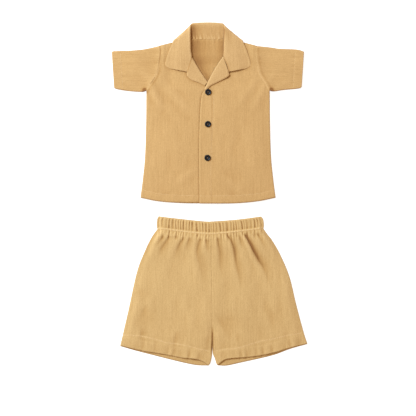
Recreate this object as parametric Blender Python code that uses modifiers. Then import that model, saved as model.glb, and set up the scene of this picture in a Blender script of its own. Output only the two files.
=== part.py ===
"""A child's short pyjama set laid flat: a camp-collar shirt with three buttons above pull-on shorts.

+X is the viewer's right and +Y the top of the layout, seen from above. The cloth rests on Z = 0.
Sizes are in millimetres of each garment's own frame, and MM turns them into metres.
"""

import functools
import math

import bmesh
import bpy
import numpy as np

MM = 0.001

# Where each garment's own frame lies in the layout.
SHIRT_AT = (-3.36, -22.25)
SHORTS_AT = (4.84, -378.95)

# Cloth and how its layers lie on each other.
WALL = 1.2
LAY = 0.4
SEAM = 0.3
SECOND = WALL + LAY
THIRD = 2 * SECOND
FOURTH = 3 * SECOND

# Shirt.
HEM_HALF = 148.6
UNDERARM = (135.6, 249.3)
SHOULDER = (107.0, 348.0)
NECK_SIDE = (46.0, 358.5)
BACK_NECK_Y = 361.6
NECK_HALF = 36.0
PLACKET_TOP_Y = 250.0
BREAK = (36.5, 326.0)
ROLL_FOOT_Y = 269.0
OVERLAP_EDGE_X = -19.6
UNDERLAP_EDGE_X = 9.0
ROLL_INSET = 3.0
ROLL_LINE = ((1.0 + ROLL_INSET, ROLL_FOOT_Y - ROLL_INSET), (BREAK[0] + ROLL_INSET, BREAK[1] - 5.0))
NECKLINE = ((53.0, 338.0), (53.5, 357.2))
COLLAR_RAISE_Y = (308.0, 332.0)
# How far a front's filled middle stands up, and the shares of its width over which it rises from either edge.
CLOTH_PUFF = 0.8
PUFF_FROM_SIDE = (0.0, 0.16)
PUFF_FROM_OPENING = (0.12, 0.32)
# Under the collar a front lies flatter, and past the placket the upper front comes down a layer.
UNDER_COLLAR_Y = (250.0, 272.0)
UNDER_COLLAR_PRESS = 0.8
OVERLAP_RAMP_X = (15.0, 34.0)
OVERLAP_RAMP_Y = (270.0, 282.0)
BODY_ROWS = 18
BODY_COLUMNS = 13

# Outlines of the shirt body, given for the right-hand side and mirrored for the other.
ARMHOLE = (UNDERARM, (127.5, 264.0), (114.0, 286.0), (108.4, 310.0), (105.2, 335.0), SHOULDER)
SIDE = ((HEM_HALF, 13.6), (143.0, 58.0), (138.4, 107.0), (136.2, 180.0), UNDERARM)
HEM = ((0.0, 1.4), (56.0, 1.8), (108.7, 5.7), (HEM_HALF, 13.6))
SHOULDER_LINE = (SHOULDER, (90.0, 352.5), (76.0, 355.5))
# The shares of an edge's rows: its side seam or placket, its armhole, its roll line and its neckline.
SIDE_SHARE, ARMHOLE_SHARE = 0.44, 0.56
ROLL_SHARE, NECKLINE_SHARE = 0.38, 0.18

# Sleeves, flattened tubes.
SLEEVE_HEIGHT = 4.6
SLEEVE_AROUND = 20
SLEEVE_ALONG = 7
SLEEVE_SWELL = 0.9
# How fast the walls of a flattened tube rise from its two edges.
TUBE_STEEPNESS = 3.2
# How far the sleeve's armhole seam stands off the body's, along the opening and at the underarm.
SLEEVE_GAP = 2 * SEAM
UNDERARM_GAP = (1.4, 0.9)
LEFT_SLEEVE_TOP = ((-211.9, 334.8), (-205.0, 336.6), (-168.0, 337.8), (-137.0, 341.0), (-108.0, 347.6))
LEFT_SLEEVE_FOOT = ((-206.6, 255.2), (-201.0, 252.6), (-177.0, 248.6), (-146.0, 246.4), (-137.0, 248.4))
RIGHT_SLEEVE_TOP = ((108.0, 347.6), (137.5, 344.6), (156.0, 341.8), (195.8, 339.9), (211.2, 335.4))
RIGHT_SLEEVE_FOOT = ((137.0, 248.4), (145.0, 247.5), (165.0, 250.4), (199.5, 253.9), (206.2, 257.4))
LEFT_CUFF = ((-206.6, 255.2), (-211.9, 334.8))
RIGHT_CUFF = ((206.2, 257.4), (211.2, 335.4))

# Collar.
COLLAR_FALL_Y = 345.0
# Away from the centre back the leaves are filled: the shares of the strip's length over which the fill grows.
LEAF_FILL = (0.15, 0.24)

# Lapels.
LAPEL_STOPS = (0.0, 0.05, 0.22, 0.42, 0.62, 0.82, 1.0)
LAPEL_TURN = 0.9
LAPEL_PUFF = 0.9
LAPEL_ROWS = 6
LAPEL_FOLD = ((0.6, ROLL_FOOT_Y - 1.5), (18.0, 297.0), (BREAK[0], BREAK[1] - 2.0))
LAPEL_UNDER = ((-7.0, 260.5), (-19.6, 267.0), (-35.0, 272.4), (-45.2, 281.5), (-46.4, 289.6))
LAPEL_OVER = ((-3.0, 252.6), (7.0, 261.0), (20.7, 267.7), (44.5, 280.5), (45.4, 289.8))

# Buttons.
BUTTON_RADIUS = 6.9
BUTTON_HEIGHT = 2.6
BUTTON_RIM = 1.3
BUTTON_DISH = 0.8
BUTTON_HOLE_RADIUS = 0.85
BUTTON_HOLE_SPREAD = 1.75
BUTTON_HOLES = 4
BUTTON_FOOT_INSET = 0.8
BUTTON_STEPS = 18
DRILL_SIDES = 6
DRILL_LENGTH = 10.0
BUTTONS = (
    dict(name="button_top", x=0.4, y=246.0),
    dict(name="button_middle", x=-0.2, y=175.6),
    dict(name="button_bottom", x=-1.0, y=101.4),
)

# Shorts.
BAND_RIBS = 35
RIB_SAMPLES = 4
RIB_RISE = 1.5
BAND_EDGE_Z = 2.0
BAND_FRONT_Z = 3.6
BAND_ROWS = 3
BAND_BACK_COLUMNS = 12
# The band's front rises to its full height within this share of its width from each edge.
BAND_FILL_SHARE = 1 / 24
# How much of a rib's height is pressed flat at the band's top and at its foot.
RIB_TOP_PRESS = 0.35
RIB_FOOT_PRESS = 0.3
# How far the back of the band shows above its front.
BAND_LIP = 1.4

# The shorts' fronts: how they are filled, and how their grids are shared out.
SHORTS_PUFF = 1.6
SHORTS_BAND_PUFF = 2.4
SHORTS_EDGE_SHARE = 0.09
NEAR_BAND_Y = (215.0, 285.0)
GROOVE_SCALE = 1.15
LEG_OPENING_RISE = 2.2
LEG_OPENING_SHARE = 0.3
FRONT_GRID = (29, 12)
BACK_GRID = (8, 10)
# Above 1 this crowds the rows of a front's grid towards the band, where its folds are.
ROWS_TO_BAND = 1.6

# Waistband: the outline of the flat band.
BAND_TOP = ((-117.0, 329.8), (-80.0, 324.6), (-19.0, 317.4), (6.4, 317.4), (59.0, 322.0), (108.5, 329.4))
BAND_FOOT = (
    (-119.4, 300.6), (-99.7, 299.2), (-48.6, 292.8), (-19.0, 290.2), (7.3, 289.7), (69.5, 296.0),
    (113.6, 301.8),
)
BAND_LEFT = ((-119.4, 300.6), (-120.8, 306.0), (-120.2, 322.0), (-117.0, 329.8))
BAND_RIGHT = ((113.6, 301.8), (114.8, 309.5), (113.2, 323.0), (108.5, 329.4))

# Shorts: outlines of the legs.
LEFT_SIDE = (
    (-201.3, 44.8), (-184.1, 118.8), (-164.3, 207.5), (-145.9, 255.0),
    (-136.8, 274.3), (-128.0, 289.1), (-119.6, 300.2),
)
RIGHT_SIDE = (
    (210.3, 49.2), (202.2, 74.1), (185.5, 136.4), (170.7, 197.0), (150.3, 245.3), (132.7, 276.0),
    (122.1, 289.5), (113.8, 301.4),
)
LEFT_INNER = ((-8.4, 1.6), (-4.2, 7.0), (-0.6, 24.6), (0.0, 40.0), (0.9, 75.0), (-0.3, 167.2))
RIGHT_INNER = ((13.4, 2.0), (10.6, 5.0), (7.0, 16.5), (2.8, 32.0), (1.7, 75.0), (0.6, 167.2))
LEFT_FRONT_HEM = (
    (-201.3, 44.8), (-151.0, 33.4), (-100.5, 25.0), (-67.0, 18.4), (-36.7, 15.4), (-22.0, 10.6), (-8.4, 1.6),
)
LEFT_BACK_HEM = ((-201.3, 44.0), (-168.0, 34.3), (-123.0, 22.7), (-78.0, 11.4), (-36.7, 2.6), (-8.4, 1.2))
RIGHT_FRONT_HEM = (
    (13.4, 2.0), (25.3, 11.9), (39.8, 16.6), (82.9, 20.0), (112.6, 24.2), (142.6, 31.0), (172.3, 40.2),
    (210.3, 49.2),
)
RIGHT_BACK_HEM = ((13.4, 1.6), (32.6, 1.2), (61.8, 7.3), (131.8, 23.3), (172.3, 37.8), (210.3, 48.6))
# Where the centre seam meets the band, as a share of the band's foot.
CENTRE_SHARE = 0.505
CENTRE_GAP_SHARE = 0.004

# Folds that fall from the waistband: the line of each one's foot groove, its half width and its depth.
BAND_FOLDS = (
    dict(x0=-108, y0=296, x1=-126, y1=264, wide=3.4, deep=2.4),
    dict(x0=-99, y0=294, x1=-110, y1=278, wide=2.6, deep=1.8),
    dict(x0=-86, y0=293, x1=-92, y1=278, wide=2.6, deep=1.5),
    dict(x0=-76, y0=292, x1=-110, y1=248, wide=4.2, deep=2.3),
    dict(x0=-62, y0=291, x1=-72, y1=262, wide=3.2, deep=1.7),
    dict(x0=-48, y0=290, x1=-54, y1=258, wide=3.0, deep=1.4),
    dict(x0=-28, y0=289, x1=-32, y1=245, wide=3.6, deep=2.0),
    dict(x0=-12, y0=288, x1=-7, y1=250, wide=3.2, deep=1.5),
    dict(x0=12, y0=288, x1=17, y1=246, wide=3.6, deep=1.9),
    dict(x0=24, y0=288, x1=28, y1=262, wide=2.8, deep=1.4),
    dict(x0=35, y0=289, x1=53, y1=226, wide=4.0, deep=2.3),
    dict(x0=53, y0=291, x1=58, y1=272, wide=2.8, deep=1.5),
    dict(x0=70, y0=292, x1=102, y1=226, wide=4.6, deep=3.0),
    dict(x0=91, y0=293, x1=101, y1=270, wide=3.2, deep=1.8),
    dict(x0=107, y0=296, x1=121, y1=272, wide=3.0, deep=1.6),
)

# Soft drags in the shirt: the crest line of each, its half width and its rise.
SHIRT_DRAGS = (
    dict(x0=-122, y0=262, x1=-86, y1=205, wide=11, rise=1.0),
    dict(x0=124, y0=258, x1=92, y1=196, wide=11, rise=1.0),
    dict(x0=-100, y0=170, x1=-112, y1=50, wide=12, rise=0.8),
    dict(x0=96, y0=160, x1=110, y1=40, wide=13, rise=0.9),
    dict(x0=-60, y0=240, x1=-52, y1=90, wide=12, rise=0.7),
    dict(x0=62, y0=235, x1=56, y1=80, wide=12, rise=0.7),
)

# The collar's cross lines from its left front end to the centre back. Each row gives the places of the neck
# seam, the fold line and the outer edge, and the levels of the stand, the fall beside the fold and the edge.
COLLAR_LINES = (
    dict(fold=(-46.8, 290.6), edge=(-84.5, 298.0), seam=(-47.8, 290.8), levels=(3.9, 5.5, 4.2)),
    dict(fold=(-42.8, 305.0), edge=(-94.0, 305.0), seam=(-43.8, 305.3), levels=(4.0, 5.8, 4.3)),
    dict(fold=(-37.4, 323.0), edge=(-92.0, 318.0), seam=(-38.6, 323.3), levels=(4.9, 6.8, 5.0)),
    dict(fold=(-37.6, 338.0), edge=(-87.8, 331.0), seam=(-46.0, 337.0), levels=(3.8, 7.2, 5.9)),
    dict(fold=(-38.0, 356.0), edge=(-83.0, 343.5), seam=(-48.0, 352.0), levels=(3.8, 7.6, 6.0)),
    dict(fold=(-38.3, 374.0), edge=(-79.5, 351.0), seam=(-47.0, 360.5), levels=(3.6, 7.2, 6.2)),
    dict(fold=(-38.5, 384.0), edge=(-77.2, 357.0), seam=(-44.5, 362.4), levels=(3.3, 6.2, 6.2)),
    dict(fold=(-38.4, 390.0), edge=(-75.2, 360.4), seam=(-42.5, 363.4), levels=(2.8, 4.6, 3.4)),
    dict(fold=(-37.4, 394.4), edge=(-73.0, 360.0), seam=(-40.0, 363.8), levels=(2.5, 2.6, 0.6)),
    dict(fold=(-34.5, 397.4), edge=(-62.0, 354.0), seam=(-36.0, 364.0), levels=(2.2, 0.6, 0.6)),
    dict(fold=(-20.0, 398.9), edge=(-36.0, 348.0), seam=(-21.0, 363.4), levels=(2.2, 0.6, 0.6)),
    dict(fold=(0.0, 399.4), edge=(0.0, COLLAR_FALL_Y), seam=(0.0, 363.2), levels=(2.2, 0.6, 0.6)),
)
COLLAR_STAND_STOPS = (0.0, 0.5, 0.93)
COLLAR_FALL_STOPS = (0.0, 0.045, 0.16, 0.34, 0.54, 0.74, 0.9, 1.0)
COLLAR_PUFF = 1.2


@functools.cache
def smooth_line(points):
    """Close points along a smooth line through the given ones, with the length run at each."""
    line = np.array(points, float)
    if len(line) > 2:
        padded = np.vstack([2 * line[0] - line[1], line, 2 * line[-1] - line[-2]])
        close = []
        for before, start, end, after in zip(padded, padded[1:], padded[2:], padded[3:]):
            for step in np.linspace(0, 1, 9)[:-1]:
                close.append(
                    0.5
                    * (
                        2 * start
                        + (end - before) * step
                        + (2 * before - 5 * start + 4 * end - after) * step**2
                        + (3 * start - before - 3 * end + after) * step**3
                    )
                )
        line = np.vstack([close, line[-1]])
    return line, np.concatenate([[0], np.cumsum(np.linalg.norm(np.diff(line, axis=0), axis=1))])


def smooth(points, share):
    """The place at this share of the length of a smooth line through the points."""
    line, lengths = smooth_line(tuple(tuple(point) for point in points))
    at = share * lengths[-1]
    return np.array([np.interp(at, lengths, line[:, axis]) for axis in range(line.shape[1])])


def line_of(points):
    return functools.partial(smooth, points)


def chain(*runs):
    """A line made of smooth runs that meet at corners, each run given its share of the whole."""
    total = sum(share for share, _ in runs)

    def place(at):
        start = 0.0
        for share, points in runs:
            end = start + share / total
            if at <= end or points is runs[-1][1]:
                return smooth(points, min(max((at - start) / (end - start), 0.0), 1.0))
            start = end

    return place


def patch(low, high, left, right):
    """A flat panel between four edges: place(across, up), with each edge running to the right or upwards."""
    corners = left(0.0), right(0.0), left(1.0), right(1.0)

    def place(across, up):
        between = (1 - up) * low(across) + up * high(across)
        between = between + (1 - across) * left(up) + across * right(up)
        return between - (
            (1 - across) * (1 - up) * corners[0]
            + across * (1 - up) * corners[1]
            + (1 - across) * up * corners[2]
            + across * up * corners[3]
        )

    return place


def ease(value, start, end):
    share = min(max((value - start) / (end - start), 0.0), 1.0)
    return share * share * (3 - 2 * share)


def mirrored(points):
    return [(-x, y) for x, y in points]


def along_line(row, x, y):
    """How far along a fold's line a place is, as a share, and its distance from the line."""
    run = np.array([row["x1"] - row["x0"], row["y1"] - row["y0"]], float)
    offset = np.array([x - row["x0"], y - row["y0"]])
    share = float(offset @ run / (run @ run))
    nearest = min(max(share, 0.0), 1.0) * run
    return share, float(np.linalg.norm(offset - nearest))


def material(name, color, roughness):
    made = bpy.data.materials.new(name)
    made.use_nodes = True
    shader = made.node_tree.nodes["Principled BSDF"]
    shader.inputs["Base Color"].default_value = (*color, 1)
    shader.inputs["Roughness"].default_value = roughness
    shader.inputs["Metallic"].default_value = 0.0
    return made


def new_piece(name, mesh, surface):
    obj = bpy.data.objects.new(name, mesh)
    obj.data.materials.append(surface)
    parts.objects.link(obj)
    return obj


def even(count):
    return np.linspace(0, 1, count + 1)


def cloth(name, columns, rows, at, place, surface, grow=1.0, even_wall=True):
    """One cloth wall. place(across, up) gives a point of its open surface at each pair of stops."""
    form = bmesh.new()
    across_last, up_last = len(columns) - 1, len(rows) - 1
    bmesh.ops.create_grid(form, x_segments=across_last, y_segments=up_last, size=0.5)
    for vertex in form.verts:
        across = columns[round((vertex.co.x + 0.5) * across_last)]
        up = rows[round((vertex.co.y + 0.5) * up_last)]
        x, y, z = place(across, up)
        vertex.co = ((x + at[0]) * MM, (y + at[1]) * MM, z * MM)
    bmesh.ops.remove_doubles(form, verts=form.verts, dist=0.01 * MM)
    mesh = bpy.data.meshes.new(name)
    form.to_mesh(mesh)
    form.free()
    mesh.shade_smooth()
    obj = new_piece(name, mesh, surface)
    shell = obj.modifiers.new("Cloth wall", "SOLIDIFY")
    shell.thickness = WALL * MM
    shell.offset = grow
    shell.use_even_offset = even_wall
    return obj


def neck_raise(y):
    """How far the folded-under back of the collar lifts the panels that lie on it."""
    return SECOND * ease(y, *COLLAR_RAISE_Y)


def body_side(sign):
    side = [(sign * x, y) for x, y in SIDE]
    armhole = [(sign * x, y) for x, y in ARMHOLE]
    return chain((SIDE_SHARE, side), (ARMHOLE_SHARE, armhole))


def make_shirt_back(surface):
    hem = mirrored(HEM[:0:-1]) + list(HEM)
    shoulder = [*SHOULDER_LINE, NECK_SIDE]
    half_neck = [NECK_SIDE, (NECK_HALF, BACK_NECK_Y), (0.0, BACK_NECK_Y)]
    top = chain(
        (SHOULDER[0] - NECK_SIDE[0], mirrored(shoulder)),
        (2 * NECK_SIDE[0], mirrored(half_neck) + half_neck[-2::-1]),
        (SHOULDER[0] - NECK_SIDE[0], shoulder[::-1]),
    )
    plan = patch(line_of(hem), top, body_side(-1), body_side(1))

    def place(across, up):
        x, y = plan(across, up)
        return x, y, neck_raise(y)

    cloth("shirt_back", even(BODY_COLUMNS), even(BODY_ROWS), SHIRT_AT, place, surface)


def drag_rise(x, y):
    rise = 0.0
    for row in SHIRT_DRAGS:
        share, away = along_line(row, x, y)
        fade = math.sin(math.pi * min(max(share, 0.0), 1.0))
        rise += row["rise"] * fade * math.exp(-((away / row["wide"]) ** 2))
    return rise


def front_lift(x, y, from_side, from_opening):
    """How far a front stands above its lowest level: nothing at its seams, softly filled between them."""
    inside = ease(from_side, *PUFF_FROM_SIDE) * ease(from_opening, *PUFF_FROM_OPENING)
    under_collar = 1 - UNDER_COLLAR_PRESS * ease(y, *UNDER_COLLAR_Y)
    return inside * under_collar * (CLOTH_PUFF + drag_rise(x, y))


def make_front_under(surface):
    """The wearer's right front, whose edge lies hidden under the other front."""
    hem = [(-HEM_HALF, 13.6), (-108.7, 5.7), (-63.0, 2.6), (UNDERLAP_EDGE_X, 2.4)]
    roll = [(UNDERLAP_EDGE_X, PLACKET_TOP_Y)] + mirrored(ROLL_LINE)
    neckline = [roll[-1]] + mirrored(NECKLINE)
    opening = chain(
        (SIDE_SHARE, [hem[-1], roll[0]]),
        (ROLL_SHARE, roll),
        (NECKLINE_SHARE, neckline),
    )
    shoulder = mirrored(SHOULDER_LINE) + [neckline[-1]]
    plan = patch(line_of(hem), line_of(shoulder), body_side(-1), opening)

    def place(across, up):
        x, y = plan(across, up)
        return x, y, SECOND + neck_raise(y) + front_lift(x, y, across, 1 - across)

    cloth("shirt_front_right", even(BODY_COLUMNS - 1), even(BODY_ROWS), SHIRT_AT, place, surface)


def make_front_over(surface):
    """The wearer's left front, on top at the placket."""
    hem = [(OVERLAP_EDGE_X + 1, 0.8), (56.0, 1.2), (108.7, 5.7), (HEM_HALF, 13.6)]
    edge = [hem[0], (OVERLAP_EDGE_X, 100.0), (-17.8, 187.0), (-14.0, 236.0), (-7.5, PLACKET_TOP_Y)]
    roll = [edge[-1], *ROLL_LINE]
    neckline = [roll[-1], *NECKLINE]
    opening = chain(
        (SIDE_SHARE, edge),
        (ROLL_SHARE, roll),
        (NECKLINE_SHARE, neckline),
    )
    shoulder = [neckline[-1], *SHOULDER_LINE[::-1]]
    plan = patch(line_of(hem), line_of(shoulder), opening, body_side(1))

    def place(across, up):
        x, y = plan(across, up)
        over = SECOND * (1 - ease(x, *OVERLAP_RAMP_X)) * (1 - ease(y, *OVERLAP_RAMP_Y))
        return x, y, SECOND + over + neck_raise(y) + front_lift(x, y, 1 - across, across)

    cloth("shirt_front_left", even(BODY_COLUMNS), even(BODY_ROWS), SHIRT_AT, place, surface)


def make_lapel(name, sign, base, lead, surface):
    """The part of a front facing that is turned back over the front, with its fold at the neck opening."""
    outer = [(sign * x, y) for x, y in lead]
    fold = [(sign * x, y) for x, y in LAPEL_FOLD]
    gorge = [outer[-1], fold[-1]]
    foot = [outer[0], fold[0]]
    edges = [foot, gorge, outer, fold]
    if sign > 0:
        edges = [foot[::-1], gorge[::-1], fold, outer]
    plan = patch(*(line_of(points) for points in edges))

    def place(across, up):
        from_fold = across if sign > 0 else 1 - across
        x, y = plan(across, up)
        turn = LAPEL_TURN if from_fold == 0 else 0.0
        swell = LAPEL_PUFF * math.sin(math.pi * from_fold) ** 0.7 * (0.4 + 0.6 * up)
        return x, y, base + neck_raise(y) + swell - turn

    stops = np.array(LAPEL_STOPS) if sign > 0 else 1 - np.array(LAPEL_STOPS)[::-1]
    cloth(name, stops, even(LAPEL_ROWS), SHIRT_AT, place, surface, even_wall=False)


def make_collar(surface):
    """One strip of cloth: neck seam, stand, fold line, then the fall. Its back is folded under the neck."""
    keys = ("fold", "edge", "seam")
    rows = list(COLLAR_LINES)
    for row in COLLAR_LINES[-2::-1]:
        rows.append({key: (-row[key][0], row[key][1]) for key in keys} | {"levels": row["levels"]})
    stops = even(len(rows) - 1)
    tables = {key: np.array([row[key] for row in rows], float) for key in keys + ("levels",)}
    last_stand = len(COLLAR_STAND_STOPS)

    def read(key, share):
        table = tables[key]
        return np.array([np.interp(share, stops, table[:, axis]) for axis in range(table.shape[1])])

    def place(column, share):
        fold, edge, seam, levels = (read(key, share) for key in ("fold", "edge", "seam", "levels"))
        if column < last_stand:
            part = COLLAR_STAND_STOPS[column]
            x, y = (1 - part) * seam + part * fold
            return x, y, levels[0]
        part = COLLAR_FALL_STOPS[column - last_stand]
        x, y = (1 - part) * fold + part * edge
        if part == 0:
            return x, y, (levels[0] + levels[1]) / 2
        in_front = ease(abs(share - 0.5), *LEAF_FILL)
        puff = COLLAR_PUFF * in_front * math.sin(math.pi * part) ** 2
        return x, y, levels[1] + (levels[2] - levels[1]) * ease(part, 0.1, 1.0) + puff

    columns = range(last_stand + len(COLLAR_FALL_STOPS))
    cloth("collar", columns, even(2 * (len(rows) - 1)), SHIRT_AT, place, surface, grow=0.0, even_wall=False)


def tube_level(angle, height, swell):
    """The level of a flattened tube's outside: flat below, softly filled above."""
    half = height / 2
    rise = min(1.0, abs(math.sin(angle)) * TUBE_STEEPNESS)
    if math.sin(angle) < 0:
        return half * (1 - rise)
    return half * (1 + rise) + swell * math.sin(angle) ** 2


def make_sleeve(name, sign, top, bottom, cuff, surface):
    armhole = [(sign * (x + SLEEVE_GAP), y) for x, y in ARMHOLE[1:]]
    armhole.insert(0, (sign * (UNDERARM[0] + UNDERARM_GAP[0]), UNDERARM[1] - UNDERARM_GAP[1]))
    ends = (armhole, cuff) if sign > 0 else (cuff, armhole)
    plan = patch(*(line_of(points) for points in (bottom, top, *ends)))

    def place(along, around):
        angle = 2 * math.pi * around
        x, y = plan(along, 0.5 - 0.5 * math.cos(angle))
        return x, y, tube_level(angle, SLEEVE_HEIGHT, SLEEVE_SWELL)

    cloth(name, even(SLEEVE_ALONG), even(SLEEVE_AROUND), SHIRT_AT, place, surface, grow=-1.0)


def make_button(row, surface):
    """A turned disc with a raised rim and a dished middle, drilled with four holes."""
    profile = (
        (0.0, BUTTON_HEIGHT - BUTTON_DISH),
        (BUTTON_RADIUS - 2.0 * BUTTON_RIM, BUTTON_HEIGHT - BUTTON_DISH),
        (BUTTON_RADIUS - 1.2 * BUTTON_RIM, BUTTON_HEIGHT),
        (BUTTON_RADIUS - 0.35 * BUTTON_RIM, BUTTON_HEIGHT - 0.1),
        (BUTTON_RADIUS, BUTTON_HEIGHT * 0.55),
        (BUTTON_RADIUS - BUTTON_FOOT_INSET, 0.0),
        (0.0, 0.0),
    )
    form = bmesh.new()
    points = [form.verts.new((x * MM, 0, z * MM)) for x, z in profile]
    for first, second in zip(points, points[1:]):
        form.edges.new((first, second))
    mesh = bpy.data.meshes.new(row["name"])
    form.to_mesh(mesh)
    form.free()
    button = new_piece(row["name"], mesh, surface)
    base = THIRD + WALL + SEAM
    button.location = ((row["x"] + SHIRT_AT[0]) * MM, (row["y"] + SHIRT_AT[1]) * MM, base * MM)
    turn = button.modifiers.new("Turned", "SCREW")
    turn.steps = BUTTON_STEPS
    turn.render_steps = BUTTON_STEPS
    turn.use_merge_vertices = True
    turn.merge_threshold = 0.00005
    turn.use_normal_calculate = True
    for index in range(BUTTON_HOLES):
        angle = 2 * math.pi * (index + 0.5) / BUTTON_HOLES
        drill_mesh = bpy.data.meshes.new("drill")
        drill = bmesh.new()
        radius = BUTTON_HOLE_RADIUS * MM
        bmesh.ops.create_cone(
            drill,
            cap_ends=True,
            segments=DRILL_SIDES,
            radius1=radius,
            radius2=radius,
            depth=DRILL_LENGTH * MM,
        )
        drill.to_mesh(drill_mesh)
        drill.free()
        cutter = bpy.data.objects.new(f"{row['name']}_drill_{index}", drill_mesh)
        cutters.objects.link(cutter)
        spread = BUTTON_HOLE_SPREAD * MM
        cutter.location = button.location
        cutter.location.x += spread * math.cos(angle)
        cutter.location.y += spread * math.sin(angle)
        cutter.hide_render = True
        cutter.display_type = "WIRE"
        hole = button.modifiers.new(f"Hole {index + 1}", "BOOLEAN")
        hole.operation = "DIFFERENCE"
        hole.object = cutter


def gather(share, up):
    """The band's gathers, uneven in place and height."""
    phase = BAND_RIBS * share + 0.16 * math.sin(23.0 * share + 1.1) + 0.12 * math.sin(61.0 * share)
    tall = 0.78 + 0.22 * math.sin(37.0 * share + 0.7 * up)
    return tall * 0.5 * (1 - math.cos(2 * math.pi * phase))


def make_waistband(surface):
    outline = (BAND_FOOT, BAND_TOP, BAND_LEFT, BAND_RIGHT)
    plan = patch(*(line_of(points) for points in outline))
    front = BAND_RIBS * RIB_SAMPLES
    count = front + BAND_BACK_COLUMNS

    def place(around, up):
        index = round(around * count)
        if index <= front:
            share = index / front
            x, y = plan(share, up)
            fill = min(1.0, share / BAND_FILL_SHARE, (1 - share) / BAND_FILL_SHARE)
            pressed = 1 - RIB_TOP_PRESS * ease(up, 0.75, 1.0) - RIB_FOOT_PRESS * ease(up, 0.2, 0.0)
            rib = RIB_RISE * pressed * gather(share, up)
            return x, y, BAND_EDGE_Z + fill * (BAND_FRONT_Z - BAND_EDGE_Z + rib)
        share = 1 - (index - front) / BAND_BACK_COLUMNS
        x, y = plan(share, up)
        lip = BAND_LIP * math.sin(math.pi * share) * ease(up, 0.5, 1.0)
        return x, y + lip, 0.0 if 0 < share < 1 else BAND_EDGE_Z

    cloth("waistband", even(count), even(BAND_ROWS), SHORTS_AT, place, surface, grow=-1.0)


def band_foot(start, end, drop):
    """The stretch of the band's foot between two shares, a seam's gap below it."""

    def place(share):
        x, y = smooth(BAND_FOOT, start + (end - start) * share)
        return np.array([x, y - drop])

    return place


def fold_depth(x, y):
    deep = 0.0
    for row in BAND_FOLDS:
        share, away = along_line(row, x, y)
        fade = 1 - ease(share, 0.15, 1.0)
        deep += row["deep"] * fade * math.exp(-((away / row["wide"]) ** 2))
    return deep


def make_shorts_panel(name, hem, side, inner, foot_span, is_front, surface):
    foot = band_foot(*foot_span, SEAM)
    on_left = side is LEFT_SIDE
    inner = list(inner) + [foot(1.0 if on_left else 0.0)]
    left, right = (side, inner) if on_left else (inner, side)
    plan = patch(line_of(hem), foot, line_of(left), line_of(right))

    def place(across, up):
        x, y = plan(across, 1 - (1 - up) ** ROWS_TO_BAND if is_front else up)
        if not is_front:
            return x, y, 0.0
        inside = ease(across, 0.0, SHORTS_EDGE_SHARE) * ease(1 - across, 0.0, SHORTS_EDGE_SHARE)
        puff = inside * (SHORTS_PUFF + SHORTS_BAND_PUFF * ease(y, *NEAR_BAND_Y))
        opening = LEG_OPENING_RISE * math.sin(math.pi * across) * (1 - ease(up, 0.0, LEG_OPENING_SHARE))
        grooves = inside * GROOVE_SCALE * fold_depth(x, y)
        return x, y, SECOND + max(0.0, puff + opening - grooves)

    columns, rows = FRONT_GRID if is_front else BACK_GRID
    cloth(name, even(columns), even(rows), SHORTS_AT, place, surface)


for leftover in list(bpy.data.objects):
    bpy.data.objects.remove(leftover)

parts = bpy.data.collections.new("Pyjama set")
cutters = bpy.data.collections.new("Cutters")
bpy.context.scene.collection.children.link(parts)
bpy.context.scene.collection.children.link(cutters)

shirt_cloth = material("Camel gauze of the shirt", (0.68, 0.43, 0.18), 0.9)
collar_cloth = material("Camel gauze of the collar", (0.74, 0.48, 0.22), 0.9)
shorts_cloth = material("Camel gauze of the shorts", (0.67, 0.44, 0.19), 0.9)
navy = material("Navy button plastic", (0.02, 0.025, 0.04), 0.35)

make_shirt_back(shirt_cloth)
make_front_under(shirt_cloth)
make_front_over(shirt_cloth)
make_lapel("lapel_right", -1, THIRD, mirrored(LAPEL_UNDER), collar_cloth)
make_lapel("lapel_left", 1, FOURTH, LAPEL_OVER, collar_cloth)
make_collar(collar_cloth)
make_sleeve("sleeve_right", -1, LEFT_SLEEVE_TOP, LEFT_SLEEVE_FOOT, LEFT_CUFF, shirt_cloth)
make_sleeve("sleeve_left", 1, RIGHT_SLEEVE_TOP, RIGHT_SLEEVE_FOOT, RIGHT_CUFF, shirt_cloth)
for button_row in BUTTONS:
    make_button(button_row, navy)
make_waistband(shorts_cloth)
right_foot = (0.0, CENTRE_SHARE)
left_foot = (CENTRE_SHARE + CENTRE_GAP_SHARE, 1.0)
right_leg = (LEFT_SIDE, LEFT_INNER, right_foot)
left_leg = (RIGHT_SIDE, RIGHT_INNER, left_foot)
make_shorts_panel("shorts_front_right", LEFT_FRONT_HEM, *right_leg, True, shorts_cloth)
make_shorts_panel("shorts_front_left", RIGHT_FRONT_HEM, *left_leg, True, shorts_cloth)
make_shorts_panel("shorts_back_right", LEFT_BACK_HEM, *right_leg, False, shorts_cloth)
make_shorts_panel("shorts_back_left", RIGHT_BACK_HEM, *left_leg, False, shorts_cloth)
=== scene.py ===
"""A child's short pyjama set laid flat: crinkled camel gauze with its seams, hems, gathers and buttons.

+X is the viewer's right and +Y the top of the layout, seen from above. The cloth rests on Z = 0.
Sizes are in millimetres of each garment's own frame, and MM turns them into metres.
"""

import functools
import math

import bmesh
import bpy
import numpy as np
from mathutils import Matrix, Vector
from mathutils.bvhtree import BVHTree


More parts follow.
